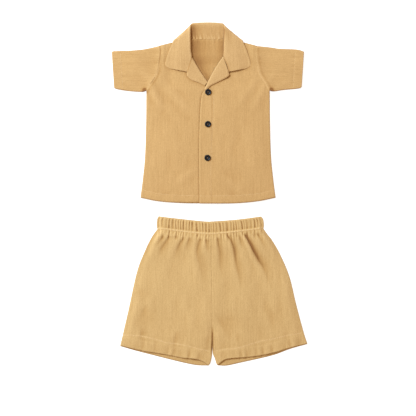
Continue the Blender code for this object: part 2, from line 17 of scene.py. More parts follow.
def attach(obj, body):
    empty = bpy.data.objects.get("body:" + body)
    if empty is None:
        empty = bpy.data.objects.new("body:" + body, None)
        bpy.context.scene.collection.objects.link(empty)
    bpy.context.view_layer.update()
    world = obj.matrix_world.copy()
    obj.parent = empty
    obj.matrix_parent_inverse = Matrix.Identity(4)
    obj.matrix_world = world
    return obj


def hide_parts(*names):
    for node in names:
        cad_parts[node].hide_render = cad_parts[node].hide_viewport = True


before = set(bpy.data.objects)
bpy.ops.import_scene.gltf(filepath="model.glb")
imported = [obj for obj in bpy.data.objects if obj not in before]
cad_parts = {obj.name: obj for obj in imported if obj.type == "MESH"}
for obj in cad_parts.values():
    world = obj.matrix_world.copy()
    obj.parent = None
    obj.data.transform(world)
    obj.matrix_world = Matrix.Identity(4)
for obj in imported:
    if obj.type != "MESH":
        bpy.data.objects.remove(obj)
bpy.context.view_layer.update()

MM = 0.001

# Where each garment's own frame lies in the layout.
SHIRT_AT = (-3.36, -22.25)
SHORTS_AT = (4.84, -378.95)

# Colours of the cloth, the thread and the buttons.
SHIRT_COLOR = (0.592, 0.352, 0.137)
COLLAR_COLOR = (0.6, 0.363, 0.150)
SHORTS_COLOR = (0.642, 0.412, 0.17)
THREAD_COLOR = (0.86, 0.62, 0.34)
BUTTON_THREAD_COLOR = (0.16, 0.09, 0.045)
NAVY = (0.004, 0.0048, 0.007)
# What the cloth's colour is multiplied by for its painted light, from painted shade in deep troughs and
# shaded seams to a painted highlight on raised ridges.
PAINTED_LIGHT_STOPS = (
    (0.0, (0.48, 0.335, 0.2)), (0.25, (0.83, 0.75, 0.63)), (0.5, (1, 1, 1)), (1.0, (1.14, 1.18, 1.28)),
)
# How much the painted light rises for each millimetre that the cloth stands above its surroundings, and for
# each unit of tint.
PAINTED_LIGHT_PER_MILLIMETRE = 0.35
PAINTED_LIGHT_PER_TINT = 0.5

# Seeds of the random relief.
SEED = dict(
    back=11, neck=71, front_under=31, front_over=47, placket=53, armhole=77, lapel_under=61, lapel_over=67,
    collar=83, collar_neck=91, sleeve_right=101, sleeve_left=113, band=137, band_rib=131, gathers=139,
    leg=151, leg_centre=156, leg_broad=171, leg_fine=172, leg_right=151, leg_left=163, back_right=173,
    back_left=179,
)

# The studio, in metres and watts.
FLOOR_HALF = 6
FLOOR_DROP = 0.0002
FLOOR_GREY = 0.6
FLOOR_GLOW = (0.92, 0.96, 1)
FLOOR_GLOW_STRENGTH = 0.8
SKY_COLOR = (1, 0.786, 0.571)
SKY_STRENGTH = 0.575
KEY_PLACE = (-1.95, 1.6, 1.9)
KEY_SIZE = 1.3
KEY_POWER = 150
KEY_COLOR = (0.647, 0.81, 0.96)
CAMERA_PLACE = (-0.0034, -0.0311, 5.0)
CAMERA_LENS = 196.6

# Cloth and how its layers lie on each other.
WALL = 1.0
SECOND = 1.6
THIRD = 2 * SECOND
FOURTH = 3 * SECOND
# The level of a front's underside where it is sewn to the back.
SEWN = 1.05

# Places on the shirt, as seen on its right-hand side.
HEM_HALF = 148.6
UNDERARM = (135.6, 249.3)
SHOULDER = (107.0, 348.0)
NECK_SIDE = (46.0, 358.5)
BACK_NECK_Y = 361.6
# How far the back's neck edge reaches in under the collar's stand.
NECK_TUCK = 1.6
NECK_HALF = 36.0
PLACKET_TOP_Y = 250.0
BREAK = (36.5, 326.0)
ROLL_FOOT_Y = 269.0
OVERLAP_EDGE_X = -19.6
UNDERLAP_EDGE_X = 9.0
ROLL_INSET = 3.0
ROLL_LINE = ((1.0 + ROLL_INSET, ROLL_FOOT_Y - ROLL_INSET), (BREAK[0] + ROLL_INSET, BREAK[1] - 5.0))
NECKLINE = ((53.0, 338.0), (53.5, 357.2))
# Between these heights the panels come up over the folded-under back of the collar.
COLLAR_RAISE_Y = (308.0, 332.0)
# How far the fronts puff up, away from their edges and from under the collar.
CLOTH_PUFF = 0.8
PUFF_FROM_SIDE = (0.0, 0.16)
PUFF_FROM_OPENING = (0.12, 0.32)
UNDER_COLLAR_Y = (250.0, 272.0)
UNDER_COLLAR_PRESS = 0.8
# Where the upper front comes down to the level of the lower one.
OVERLAP_RAMP_X = (12.0, 66.0)
OVERLAP_RAMP_Y = (270.0, 282.0)

# Outlines of the shirt body, given for the right-hand side and mirrored for the other.
ARMHOLE = (UNDERARM, (127.5, 264.0), (114.0, 286.0), (108.4, 310.0), (105.2, 335.0), SHOULDER)
SIDE = ((HEM_HALF, 13.6), (143.0, 58.0), (138.4, 107.0), (136.2, 180.0), UNDERARM)
HEM = ((0.0, 1.4), (56.0, 1.8), (108.7, 5.7), (HEM_HALF, 13.6))
SHOULDER_LINE = (SHOULDER, (90.0, 352.5), (76.0, 355.5))
# How much of a panel's rows each run of its edge gets, from the hem up.
SIDE_SHARE = 0.44
ARMHOLE_SHARE = 0.56
ROLL_SHARE = 0.38
NECKLINE_SHARE = 0.18
# Columns and rows of cells.
FRONT_GRID = (124, 150)
BACK_GRID = (180, 100)

# Sewing on the shirt: how deep its hems are, how high the armhole seam stands, and the rows of stitches.
SHIRT_HEM_DEPTH = 17.0
CUFF_HEM_DEPTH = 19.0
ARMHOLE_RISE = 2.4
PLACKET_EDGE = (
    (OVERLAP_EDGE_X + 1, 0.8), (OVERLAP_EDGE_X, 100.0), (-17.8, 187.0), (-14.0, 236.0),
    (-7.5, PLACKET_TOP_Y),
)
PLACKET_STITCH = ((7.0, 20.0), (6.0, 80.0), (8.4, 150.0), (12.2, 215.0), (12.6, 240.0))
HEM_STITCH_UNDER = ((-143.0, 31.0), (-108.0, 22.6), (-60.0, 19.0), (-21.0, 18.4))
HEM_STITCH_OVER = ((-17.5, 17.8), (56.0, 18.6), (108.0, 22.6), (143.0, 31.0))

# Soft drags in the shirt: the crest line of each, its half width and its rise.
SHIRT_DRAGS = (
    dict(x0=-134, y0=273, x1=-97, y1=202, wide=8, rise=1.7),
    dict(x0=-114, y0=286, x1=-35, y1=194, wide=10, rise=1.3),
    dict(x0=-95, y0=185, x1=-48, y1=92, wide=12, rise=0.6),
    dict(x0=132, y0=277, x1=97, y1=202, wide=8, rise=1.0),
    dict(x0=112, y0=286, x1=62, y1=211, wide=9, rise=0.7),
    dict(x0=-18, y0=84, x1=-79, y1=40, wide=9, rise=0.6),
    dict(x0=-88, y0=180, x1=-106, y1=62, wide=12, rise=0.6),
    dict(x0=-48, y0=185, x1=-53, y1=106, wide=10, rise=0.5),
    dict(x0=53, y0=202, x1=44, y1=75, wide=12, rise=0.6),
    dict(x0=84, y0=185, x1=101, y1=44, wide=12, rise=0.7),
    dict(x0=31, y0=62, x1=75, y1=22, wide=8, rise=0.5),
)

# The same in the sleeves.
SLEEVE_DRAGS = (
    dict(x0=-118, y0=262, x1=-152, y1=300, wide=8, rise=0.5),
    dict(x0=-150, y0=256, x1=-190, y1=276, wide=7, rise=0.4),
    dict(x0=121, y0=262, x1=160, y1=300, wide=9, rise=0.5),
    dict(x0=146, y0=256, x1=188, y1=272, wide=7, rise=0.4),
)

# Sleeves, flattened tubes.
SLEEVE_HEIGHT = 4.6
SLEEVE_SWELL = 0.9
# How steeply a tube's flattened section rounds at its two folds.
TUBE_STEEPNESS = 3.2
# How high the sleeve is where it is sewn on, as a share of its full height.
SLEEVE_SEWN_SHARE = 0.62
# How far the sleeve laps the body at the armhole seam, and how far it stands above the body there.
SLEEVE_LAP = 1.1
SLEEVE_LAP_RISE = -0.02
SLEEVE_GRID = (64, 168)
LEFT_SLEEVE_TOP = ((-211.9, 334.8), (-205.0, 336.6), (-168.0, 337.8), (-137.0, 341.0), (-107.4, 347.8))
LEFT_SLEEVE_FOOT = ((-206.6, 255.2), (-201.0, 252.6), (-177.0, 248.6), (-146.0, 246.4), (-136.4, 248.8))
RIGHT_SLEEVE_TOP = ((107.4, 347.8), (137.5, 344.6), (156.0, 341.8), (195.8, 339.9), (211.2, 335.4))
RIGHT_SLEEVE_FOOT = ((136.4, 248.8), (145.0, 247.5), (165.0, 250.4), (199.5, 253.9), (206.2, 257.4))
LEFT_CUFF = ((-206.6, 255.2), (-211.9, 334.8))
RIGHT_CUFF = ((206.2, 257.4), (211.2, 335.4))

# Lapels: the fold and the outer edge of the one underneath, then of the one on top, from the foot up.
LAPEL_FOLD_UNDER = (
    (0.6, ROLL_FOOT_Y - 1.5), (13.8, 286.5), (22.8, 300.7), (29.4, 312.5), (BREAK[0], BREAK[1] - 2.0),
)
LAPEL_FOLD_OVER = (
    (-7.4, 251.5), (-3.4, 260.0), (1.0, 269.5), (13.4, 293.0), (22.6, 308.0), (33.8, BREAK[1] - 2.0),
)
LAPEL_UNDER = ((-7.0, 260.5), (-19.6, 267.0), (-35.0, 272.4), (-45.2, 281.5), (-46.4, 289.6))
LAPEL_OVER = ((-4.4, 249.8), (6.0, 260.2), (20.7, 267.7), (44.5, 280.5), (45.4, 289.8))
LAPEL_PUFF = 0.9
LAPEL_TURN = 1.3
LAPEL_TURN_WIDTH = 2.2
LAPEL_GRID = (44, 56)

# How low the collar's edge hangs inside the folded back.
COLLAR_FALL_Y = 345.0
COLLAR_KEYS = ("fold", "edge", "seam")
# The collar's cross lines from its left front end to the centre back. Each row gives the places of the neck
# seam, the fold line and the outer edge, and the levels of the stand, the fall beside the fold and the edge.
COLLAR_LINES = (
    dict(fold=(-46.8, 290.6), edge=(-84.5, 298.0), seam=(-47.8, 290.8), levels=(3.9, 5.5, 4.2)),
    dict(fold=(-42.8, 305.0), edge=(-94.0, 305.0), seam=(-43.8, 305.3), levels=(4.0, 5.8, 4.3)),
    dict(fold=(-37.4, 323.0), edge=(-92.0, 318.0), seam=(-38.6, 323.3), levels=(4.9, 6.8, 5.0)),
    dict(fold=(-37.6, 338.0), edge=(-87.8, 331.0), seam=(-46.0, 337.0), levels=(3.8, 7.2, 5.9)),
    dict(fold=(-38.0, 356.0), edge=(-83.0, 343.5), seam=(-48.0, 352.0), levels=(3.8, 7.6, 6.0)),
    dict(fold=(-38.3, 374.0), edge=(-79.5, 351.0), seam=(-47.0, 360.5), levels=(3.6, 7.2, 6.2)),
    dict(fold=(-38.5, 384.0), edge=(-77.2, 357.0), seam=(-44.5, 362.4), levels=(3.3, 6.2, 6.2)),
    dict(fold=(-38.4, 390.0), edge=(-75.2, 360.4), seam=(-42.5, 363.4), levels=(2.8, 4.6, 3.4)),
    dict(fold=(-37.4, 394.4), edge=(-73.0, 360.0), seam=(-40.0, 363.8), levels=(2.5, 2.6, 0.6)),
    dict(fold=(-34.5, 397.4), edge=(-62.0, 354.0), seam=(-36.0, 364.0), levels=(2.2, 0.6, 0.6)),
    dict(fold=(-20.0, 398.9), edge=(-36.0, 348.0), seam=(-21.0, 363.4), levels=(2.2, 0.6, 0.6)),
    dict(fold=(0.0, 399.4), edge=(0.0, COLLAR_FALL_Y), seam=(0.0, 363.2), levels=(2.2, 0.6, 0.6)),
)
# Where a cross line is read on the stand and on the fall, as shares of each.
COLLAR_STAND_STOPS = (0.0, 0.5, 0.93)
COLLAR_FALL_STOPS = (0.0, 0.045, 0.16, 0.34, 0.54, 0.74, 0.9, 1.0)
COLLAR_PUFF = 1.2
# How far the roll of the collar stands up at the sides of the neck, and the stand's seam over the back.
ROLL_RISE = 1.0
SEAM_LAP = 0.15
# How far the roll lies nearer to the middle on the right, and how far both ends reach over the lapels.
RIGHT_ROLL_IN = 3.0
GORGE_LAP = 0.9
# From how far off the centre back, as a share of the collar's length, its two leaves are filled.
LEAF_FILL = (0.15, 0.24)
COLLAR_GRID = (84, 264)

# Buttons.
BUTTON_RADIUS = 6.9
BUTTON_HEIGHT = 2.6
BUTTON_HOLE_RADIUS = 0.85
BUTTON_HOLE_SPREAD = 1.75
BUTTON_DISH_Z = BUTTON_HEIGHT - 0.9
BUTTON_LEVEL = THIRD + 1.5
# Half the section of a button: its radius and height from the middle of the face round to the back.
BUTTON_PROFILE = (
    (0.0, BUTTON_DISH_Z), (3.1, BUTTON_DISH_Z), (3.9, BUTTON_HEIGHT - 0.75), (4.6, BUTTON_HEIGHT - 0.2),
    (5.2, BUTTON_HEIGHT), (6.0, BUTTON_HEIGHT - 0.04), (6.6, BUTTON_HEIGHT - 0.4),
    (BUTTON_RADIUS, BUTTON_HEIGHT - 1.1), (BUTTON_RADIUS - 0.1, BUTTON_HEIGHT - 1.7),
    (BUTTON_RADIUS - 0.9, 0.25), (BUTTON_RADIUS - 2.0, 0.0), (0.0, 0.0),
)
BUTTON_THREAD_RADIUS = 0.2
# Where the strands of a bar of thread lie beside its middle, and how high each of the two bars runs.
BUTTON_STRANDS = (-0.28, 0.0, 0.28)
BUTTON_BAR_RISES = (0.3, 0.62)
BUTTON_BAR_DROP = 1.5
BUTTONS = (
    dict(name="button_top", x=0.4, y=246.0, turn=8),
    dict(name="button_middle", x=-0.2, y=175.6, turn=-14),
    dict(name="button_bottom", x=-1.0, y=101.4, turn=21),
)

# Stitches that lie on the cloth: their length, gap, thickness, and how far their ends dip into the cloth.
STITCH_LONG = 1.8
STITCH_GAP = 0.7
STITCH_RADIUS = 0.24
FINE_STITCH_RADIUS = 0.19
STITCH_DIP = 0.16
STITCH_LIFT = 0.08

# Waistband, a flattened tube: its ribs, its levels, its grid and its outline.
BAND_RIBS = 35
RIB_SAMPLES = 16
RIB_RISE = 1.5
BAND_EDGE_Z = 2.0
BAND_FRONT_Z = 3.0
BAND_RIDGE = 1.05
BAND_ROWS = 18
BAND_BACK_COLUMNS = 60
# The band is filled from this share of its length on, at both ends.
BAND_FILL_SHARE = 1 / 24
# How far the back of the band shows above the front in the middle, and how high its stitches lie.
BAND_LIP = 1.4
BAND_STITCH_UP = 2.4
BAND_TOP = ((-117.0, 329.8), (-80.0, 324.6), (-19.0, 317.4), (6.4, 317.4), (59.0, 322.0), (108.5, 329.4))
BAND_FOOT = (
    (-119.4, 300.6), (-99.7, 299.2), (-48.6, 292.8), (-19.0, 290.2), (7.3, 289.7), (69.5, 296.0),
    (113.6, 301.8),
)
BAND_LEFT = ((-119.4, 300.6), (-120.8, 306.0), (-120.2, 322.0), (-117.0, 329.8))
BAND_RIGHT = ((113.6, 301.8), (114.8, 309.5), (113.2, 323.0), (108.5, 329.4))

# Shorts: outlines of the legs.
LEFT_SIDE = (
    (-201.3, 44.8), (-184.1, 118.8), (-164.3, 207.5), (-145.9, 255.0),
    (-136.8, 274.3), (-128.0, 289.1), (-119.6, 300.2),
)
RIGHT_SIDE = (
    (210.3, 49.2), (202.2, 74.1), (185.5, 136.4), (170.7, 197.0), (150.3, 245.3), (132.7, 276.0),
    (122.1, 289.5), (113.8, 301.4),
)
LEFT_INNER = ((-7.2, 1.6), (-3.2, 7.0), (-0.2, 22.0), (0.0, 40.0), (0.9, 75.0), (-0.3, 167.2))
RIGHT_INNER = ((13.4, 2.0), (10.6, 5.0), (7.0, 16.5), (2.8, 32.0), (1.7, 75.0), (0.6, 167.2))
LEFT_FRONT_HEM = (
    (-201.3, 44.8), (-151.0, 33.4), (-100.5, 25.0), (-67.0, 18.4), (-36.7, 15.4), (-21.0, 10.6), (-7.2, 1.6),
)
LEFT_BACK_HEM = ((-201.3, 44.0), (-168.0, 34.3), (-123.0, 22.7), (-78.0, 11.4), (-36.7, 2.6), (-7.2, 1.2))
RIGHT_FRONT_HEM = (
    (13.4, 2.0), (25.3, 11.9), (39.8, 16.6), (82.9, 20.0), (112.6, 24.2), (142.6, 31.0), (172.3, 40.2),
    (210.3, 49.2),
)
RIGHT_BACK_HEM = ((13.4, 1.6), (32.6, 1.2), (61.8, 7.3), (131.8, 23.3), (172.3, 37.8), (210.3, 48.6))
# Where the centre seam meets the band, and the gap between the panels there, as shares of the band's foot.
CENTRE_SHARE = 0.505
CENTRE_GAP_SHARE = 0.001
LEFT_LEG_STITCH = (
    (-194.7, 68.6), (-158.8, 66.4), (-117.3, 57.4), (-100.5, 51.9), (-66.9, 47.3), (-28.6, 38.3),
    (-5.0, 33.0),
)
RIGHT_LEG_STITCH = (
    (8.0, 33.5), (32.6, 37.4), (49.1, 38.7), (71.1, 43.8), (100.8, 53.2), (130.7, 59.2), (166.3, 67.5),
    (196.2, 72.4),
)

# How far the panels of the shorts reach up under the band, and towards each other at the centre seam.
PANEL_LAP = 0.6
CENTRE_CLOSE = 0.42
BACK_CLOSE = 2.6 * CENTRE_CLOSE
# The shorts' fronts: how they are filled, tucked in under the band and gathered there.
TOP_TUCK = 1.1
SHORTS_PUFF = 1.6
SHORTS_BAND_PUFF = 2.7
SHORTS_EDGE_SHARE = 0.09
NEAR_BAND_Y = (215.0, 285.0)
CROTCH_Y = (56.0, 120.0)
GATHER_RISE = 2.0
GATHER_LENGTH = 14
GROOVE_SCALE = 1.4
LEG_OPENING_RISE = 0.05
LEG_OPENING_SHARE = 0.3
SHORTS_FRONT_GRID = (170, 130)
SHORTS_BACK_GRID = (90, 80)
# Rows of the fronts lie closer together near the band.
ROWS_TO_BAND = 1.25

# The one deep fold, deeper than the others, with painted shade along its depth.
DEEP_FOLD = ((69, 292), (80, 275), (91, 253), (101, 234), (113, 215), (126, 183))

# Folds that fall from the waistband: the line of each one's groove, its half width and its depth.
BAND_FOLDS = (
    dict(line=((-106, 291), (-110, 283), (-118, 271), (-128, 262)), wide=2.4, deep=1.1),
    dict(line=((-93, 291), (-99, 278), (-113, 256), (-119, 235)), wide=2.6, deep=1.0),
    dict(line=((-77, 290), (-84, 278)), wide=1.8, deep=0.9),
    dict(line=((-60, 287), (-70, 271), (-77, 256), (-85, 229)), wide=2.6, deep=1.0),
    dict(line=((-47, 286), (-55, 267), (-59, 251)), wide=2.2, deep=0.8),
    dict(line=((-26, 285), (-31, 267), (-33, 250), (-29, 228), (-19, 187)), wide=2.8, deep=1.0),
    dict(line=((-13, 283), (-11, 261), (-5, 244)), wide=2.0, deep=1.1),
    dict(line=((11, 286), (14, 267), (17, 248), (18, 220), (25, 189)), wide=2.6, deep=1.1),
    dict(line=((33, 288), (43, 272), (48, 256), (51, 237), (55, 215), (66, 167)), wide=2.6, deep=1.5),
    dict(line=((50, 290), (55, 280)), wide=1.6, deep=0.7),
    dict(line=((58, 289), (64, 270), (69, 251)), wide=2.0, deep=0.8),
    dict(line=DEEP_FOLD, wide=2.4, deep=2.3),
    dict(line=((88, 293), (99, 276)), wide=1.8, deep=0.8),
    dict(line=((96, 294), (107, 278), (119, 255)), wide=2.2, deep=0.9),
    dict(line=((110, 297), (127, 274)), wide=2.0, deep=0.9),
)

# Soft folds low on the legs.
LEG_FOLDS = (
    dict(line=((5, 119), (18, 97), (34, 70), (45, 48)), wide=6.5, deep=0.8),
    dict(line=((-5, 79), (-11, 51), (-21, 26)), wide=5.0, deep=0.9),
    dict(line=((-136, 150), (-158, 106), (-171, 75)), wide=6.0, deep=0.7),
    dict(line=((-160, 183), (-171, 141)), wide=5.0, deep=0.6),
    dict(line=((111, 145), (128, 97), (137, 66)), wide=6.0, deep=0.6),
    dict(line=((-74, 88), (-83, 53), (-90, 31)), wide=3.0, deep=0.7),
    dict(line=((-158, 88), (-153, 48)), wide=3.0, deep=0.6),
    dict(line=((53, 79), (58, 35)), wide=3.0, deep=0.4),
)


def curve_between(before, start, end, after, step):
    """The place this share of the way from start to end, on a smooth curve through all four."""
    curve = 2 * start + (end - before) * step + (2 * before - 5 * start + 4 * end - after) * step**2
    return 0.5 * (curve + (3 * start - before - 3 * end + after) * step**3)


def padded_ends(line):
    return np.vstack([2 * line[0] - line[1], line, 2 * line[-1] - line[-2]])


@functools.cache
def smooth_line(points):
    """Close points along a smooth line through the given ones, with the length run at each."""
    line = np.array(points, float)
    if len(line) > 2:
        padded = padded_ends(line)
        close = [
            curve_between(*corners, step)
            for corners in zip(padded, padded[1:], padded[2:], padded[3:])
            for step in np.linspace(0, 1, 13)[:-1]
        ]
        line = np.vstack([close, line[-1]])
    return line, np.concatenate([[0], np.cumsum(np.linalg.norm(np.diff(line, axis=0), axis=1))])


def as_key(points):
    """The points as plain numbers, so that smooth_line can keep what it made of them."""
    return tuple(tuple(float(value) for value in point) for point in points)


def smooth(points, shares):
    """The places at these shares of the length of a smooth line through the points."""
    line, lengths = smooth_line(as_key(points))
    at = np.asarray(shares) * lengths[-1]
    return np.stack([np.interp(at, lengths, line[:, axis]) for axis in range(line.shape[1])], axis=-1)


def line_of(points):
    return functools.partial(smooth, points)


def length_of(points):
    return smooth_line(as_key(points))[1][-1]


def chain(*runs):
    """A line made of smooth runs that meet at corners, each run given its share of the whole."""
    total = sum(share for share, _ in runs)

    def place(shares):
        start = 0.0
        found = None
        for share, points in runs:
            run = smooth(points, np.clip((shares - start) * total / share, 0.0, 1.0))
            found = run if found is None else np.where((shares > start)[:, None], run, found)
            start += share / total
        return found

    return place


def patch(low, high, left, right, columns, rows):
    """The places of a flat panel between four edges, as rows of columns, and its width at each row."""
    low_line, high_line = low(columns), high(columns)
    left_line, right_line = left(rows), right(rows)
    across = columns[None, :, None]
    up = rows[:, None, None]
    between = (1 - up) * low_line[None] + up * high_line[None]
    between = between + (1 - across) * left_line[:, None] + across * right_line[:, None]
    between = between - (
        (1 - across) * (1 - up) * left_line[0]
        + across * (1 - up) * right_line[0]
        + (1 - across) * up * left_line[-1]
        + across * up * right_line[-1]
    )
    width = np.linalg.norm(right_line - left_line, axis=1)
    return between[..., 0], between[..., 1], width[:, None]


def even(count):
    return np.linspace(0, 1, count + 1)


def ease(value, start, end):
    share = np.clip((value - start) / (end - start), 0.0, 1.0)
    return share * share * (3 - 2 * share)


def bell(distance, wide, power=2):
    """1 at no distance, falling to nothing past this width. Power 1 makes its top sharp."""
    return np.exp(-((distance / wide) ** power))


def mirrored(points):
    return [(-x, y) for x, y in points]


def lumps(x, y, size_x, size_y, seed):
    """Smooth random heights from -1 to 1, with lumps of this size."""
    count = 128
    table = np.random.default_rng(seed).uniform(-1, 1, (count, count))
    u, v = x / size_x, y / size_y
    column, row = np.floor(u).astype(int), np.floor(v).astype(int)
    across, up = ease(u - column, 0, 1), ease(v - row, 0, 1)
    columns, rows = (column % count, (column + 1) % count), (row % count, (row + 1) % count)
    low, high = ((1 - across) * table[at, columns[0]] + across * table[at, columns[1]] for at in rows)
    return (1 - up) * low + up * high


def crinkle(across, along, seed, height=0.26):
    """The gauze's fine uneven ridges, long in the direction of its grain. Never below nothing."""
    bent = across + 2.2 * lumps(across, along, 13.0, 21.0, seed + 5)
    fine = lumps(bent, along + 0.7 * across, 2.5, 23.0, seed)
    middle = lumps(across + 1.7 * lumps(across, along, 30, 60, seed + 1), along, 4.4, 48.0, seed + 2)
    broad = lumps(across, along, 10.0, 90.0, seed + 3)
    cross = lumps(across, along, 7.0, 5.0, seed + 4)
    return height * (0.5 + 0.2 * fine + 0.17 * middle + 0.08 * broad + 0.05 * cross)


def near_line(points, x, y, sided=False):
    """How far each place is from a smooth line, how far along the line that is, and on which side it lies."""
    line, lengths = smooth_line(as_key(points))
    best = np.full(x.shape, np.inf)
    along = np.zeros(x.shape)
    side = np.zeros(x.shape)
    for start, end, begun in zip(line, line[1:], lengths):
        run = end - start
        length = np.hypot(*run)
        share = np.clip(((x - start[0]) * run[0] + (y - start[1]) * run[1]) / length**2, 0, 1)
        off_x, off_y = x - start[0] - share * run[0], y - start[1] - share * run[1]
        away = np.hypot(off_x, off_y)
        closer = away < best
        best = np.where(closer, away, best)
        along = np.where(closer, begun + share * length, along)
        side = np.where(closer, np.sign(run[0] * off_y - run[1] * off_x), side)
    return (best, along, side) if sided else (best, along)


def stitched(points, x, y, seed, deep=0.3, wide=1.4, pucker=0.2):
    """A soft trough along a row of stitches, with the small puckers that it pulls into the cloth."""
    away, along = near_line(points, x, y)
    waves = lumps(along, away, 6.5, 14.0, seed)
    return pucker * waves * bell(away, 8) - deep * bell(away, wide)


def stitch_tint(points, x, y, strength=0.15, wide=1.5):
    """How much paler the cloth is along a row of stitches."""
    away, _ = near_line(points, x, y)
    return strength * bell(away, wide)


def along_line(row, x, y):
    """How far along a straight line a place is, as a share, and its distance from the line."""
    run_x, run_y = row["x1"] - row["x0"], row["y1"] - row["y0"]
    share = ((x - row["x0"]) * run_x + (y - row["y0"]) * run_y) / (run_x**2 + run_y**2)
    held = np.clip(share, 0, 1)
    return share, np.hypot(x - row["x0"] - held * run_x, y - row["y0"] - held * run_y)


def new_material(name, **inputs):
    """A material whose shader has these inputs set, with its node tree and shader."""
    made = bpy.data.materials.new(name)
    made.use_nodes = True
    shader = made.node_tree.nodes["Principled BSDF"]
    for socket, value in inputs.items():
        shader.inputs[socket.replace("_", " ")].default_value = value
    return made, made.node_tree, shader


def linked(tree, kind, links=(), values=()):
    node = tree.nodes.new(kind)
    for name, value in values:
        node.inputs[name].default_value = value
    for name, socket in links:
        tree.links.new(node.inputs[name], socket)
    return node


def streaks(tree, grain, scale, detail, seed):
    """Noise drawn out along the grain. scale is its fineness across and along the cloth, in lumps a metre."""
    moved = linked(tree, "ShaderNodeMapping", [("Vector", grain)])
    moved.inputs["Location"].default_value = (0.31 * seed, 0.17 * seed, 0)
    moved.inputs["Scale"].default_value = (*scale, 1)
    noise = linked(tree, "ShaderNodeTexNoise", [("Vector", moved.outputs["Vector"])], [("Scale", 1.0)])
    noise.inputs["Detail"].default_value = detail
    noise.inputs["Roughness"].default_value = 0.6
    return noise.outputs["Fac"]


def ramp(tree, factor, stops):
    node = linked(tree, "ShaderNodeValToRGB", [("Fac", factor)])
    while len(node.color_ramp.elements) < len(stops):
        node.color_ramp.elements.new(0.5)
    for element, (position, color) in zip(node.color_ramp.elements, stops):
        element.position = position
        element.color = (*color, 1)
    return node.outputs["Color"]


def blended(tree, kind, factor, first, second):
    node = tree.nodes.new("ShaderNodeMix")
    node.data_type = "RGBA"
    node.blend_type = kind
    node.inputs["Factor"].default_value = factor
    tree.links.new(node.inputs[6], first)
    tree.links.new(node.inputs[7], second)
    return node.outputs[2]


def gauze(name, color, seed):
    """Crinkled cotton gauze: fine streaks along its grain, a weave, and painted light: a painted highlight
    where ridges stand up and painted shade where the cloth lies low or in shadow.
    """
    made, tree, shader = new_material(
        name, Roughness=0.92, Specular_IOR_Level=0.2, Sheen_Weight=0.2, Sheen_Roughness=0.6
    )
    grain = linked(tree, "ShaderNodeUVMap")
    grain.uv_map = "grain"
    grain = grain.outputs["UV"]
    long = streaks(tree, grain, (560, 16), 2, seed)
    short = streaks(tree, grain, (480, 110), 2, seed + 1)
    speckle = streaks(tree, grain, (520, 520), 1, seed + 2)
    blotch = streaks(tree, grain, (12, 9), 2, seed + 3)
    base = np.array(color)
    dark, pale = base * (0.94, 0.925, 0.9), base * (1.05, 1.06, 1.08)
    shades = ramp(tree, long, [(0.32, dark), (0.5, base), (0.68, pale)])
    dashes = ramp(tree, short, [(0.3, (0.94, 0.93, 0.91)), (0.5, (1, 1, 1)), (0.7, (1.045, 1.05, 1.065))])
    dots = ramp(tree, speckle, [(0.3, (0.91, 0.895, 0.87)), (0.5, (1, 1, 1)), (0.7, (1.07, 1.08, 1.1))])
    patches = ramp(tree, blotch, [(0.3, (0.975, 0.97, 0.96)), (0.7, (1.02, 1.02, 1.02))])
    # Painted light: each point's painted highlight or painted shade, from its relief and its tint.
    painted_light_attribute = linked(tree, "ShaderNodeAttribute")
    painted_light_attribute.attribute_name = "painted_light"
    painted_light_colour = ramp(tree, painted_light_attribute.outputs["Fac"], PAINTED_LIGHT_STOPS)
    mixed = blended(tree, "MULTIPLY", 1.0, shades, dashes)
    for layer in (dots, patches, painted_light_colour):
        mixed = blended(tree, "MULTIPLY", 1.0, mixed, layer)
    tree.links.new(shader.inputs["Base Color"], mixed)
    threads = linked(tree, "ShaderNodeTexWave", [("Vector", grain)], [("Scale", 340.0), ("Distortion", 2.5)])
    threads.inputs["Detail"].default_value = 2
    threads.inputs["Detail Scale"].default_value = 1.5
    picks = linked(tree, "ShaderNodeTexWave", [("Vector", grain)], [("Scale", 300.0), ("Distortion", 2.0)])
    picks.bands_direction = "Y"
    picks.inputs["Detail"].default_value = 2
    weave = blended(tree, "MIX", 0.5, threads.outputs["Color"], picks.outputs["Color"])
    weave_bump = linked(
        tree, "ShaderNodeBump", [("Height", weave)], [("Strength", 0.3), ("Distance", 0.0002)]
    )
    ridges = blended(tree, "MIX", 0.5, long, short)
    ridge_bump = linked(
        tree,
        "ShaderNodeBump",
        [("Height", ridges), ("Normal", weave_bump.outputs["Normal"])],
        [("Strength", 0.45), ("Distance", 0.0005)],
    )
    tree.links.new(shader.inputs["Normal"], ridge_bump.outputs["Normal"])
    return made


def plastic(name, color, roughness):
    made, tree, shader = new_material(name, Roughness=roughness, Specular_IOR_Level=0.3)
    place = linked(tree, "ShaderNodeTexCoord").outputs["Object"]
    swirl = linked(tree, "ShaderNodeTexNoise", [("Vector", place)], [("Scale", 260.0), ("Detail", 4.0)])
    base = np.array(color)
    shades = ramp(tree, swirl.outputs["Fac"], [(0.35, base * 0.8), (0.7, base * 1.5)])
    tree.links.new(shader.inputs["Base Color"], shades)
    bump = linked(
        tree, "ShaderNodeBump", [("Height", swirl.outputs["Fac"])], [("Strength", 0.08), ("Distance", 0.0001)]
    )
    tree.links.new(shader.inputs["Normal"], bump.outputs["Normal"])
    return made


def thread_material(name, color):
    made, tree, shader = new_material(name, Roughness=0.7, Sheen_Weight=0.2)
    place = linked(tree, "ShaderNodeTexCoord").outputs["Object"]
    twist = linked(tree, "ShaderNodeTexWave", [("Vector", place)], [("Scale", 900.0), ("Distortion", 1.0)])
    twist.bands_direction = "DIAGONAL"
    base = np.array(color)
    shades = ramp(tree, twist.outputs["Fac"], [(0.0, base * 0.85), (1.0, base * 1.08)])
    tree.links.new(shader.inputs["Base Color"], shades)
    return made


def new_piece(name, mesh, surface):
    obj = bpy.data.objects.new(name, mesh)
    mesh.materials.append(surface)
    bpy.context.scene.collection.objects.link(obj)
    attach(obj, "root")
    return obj


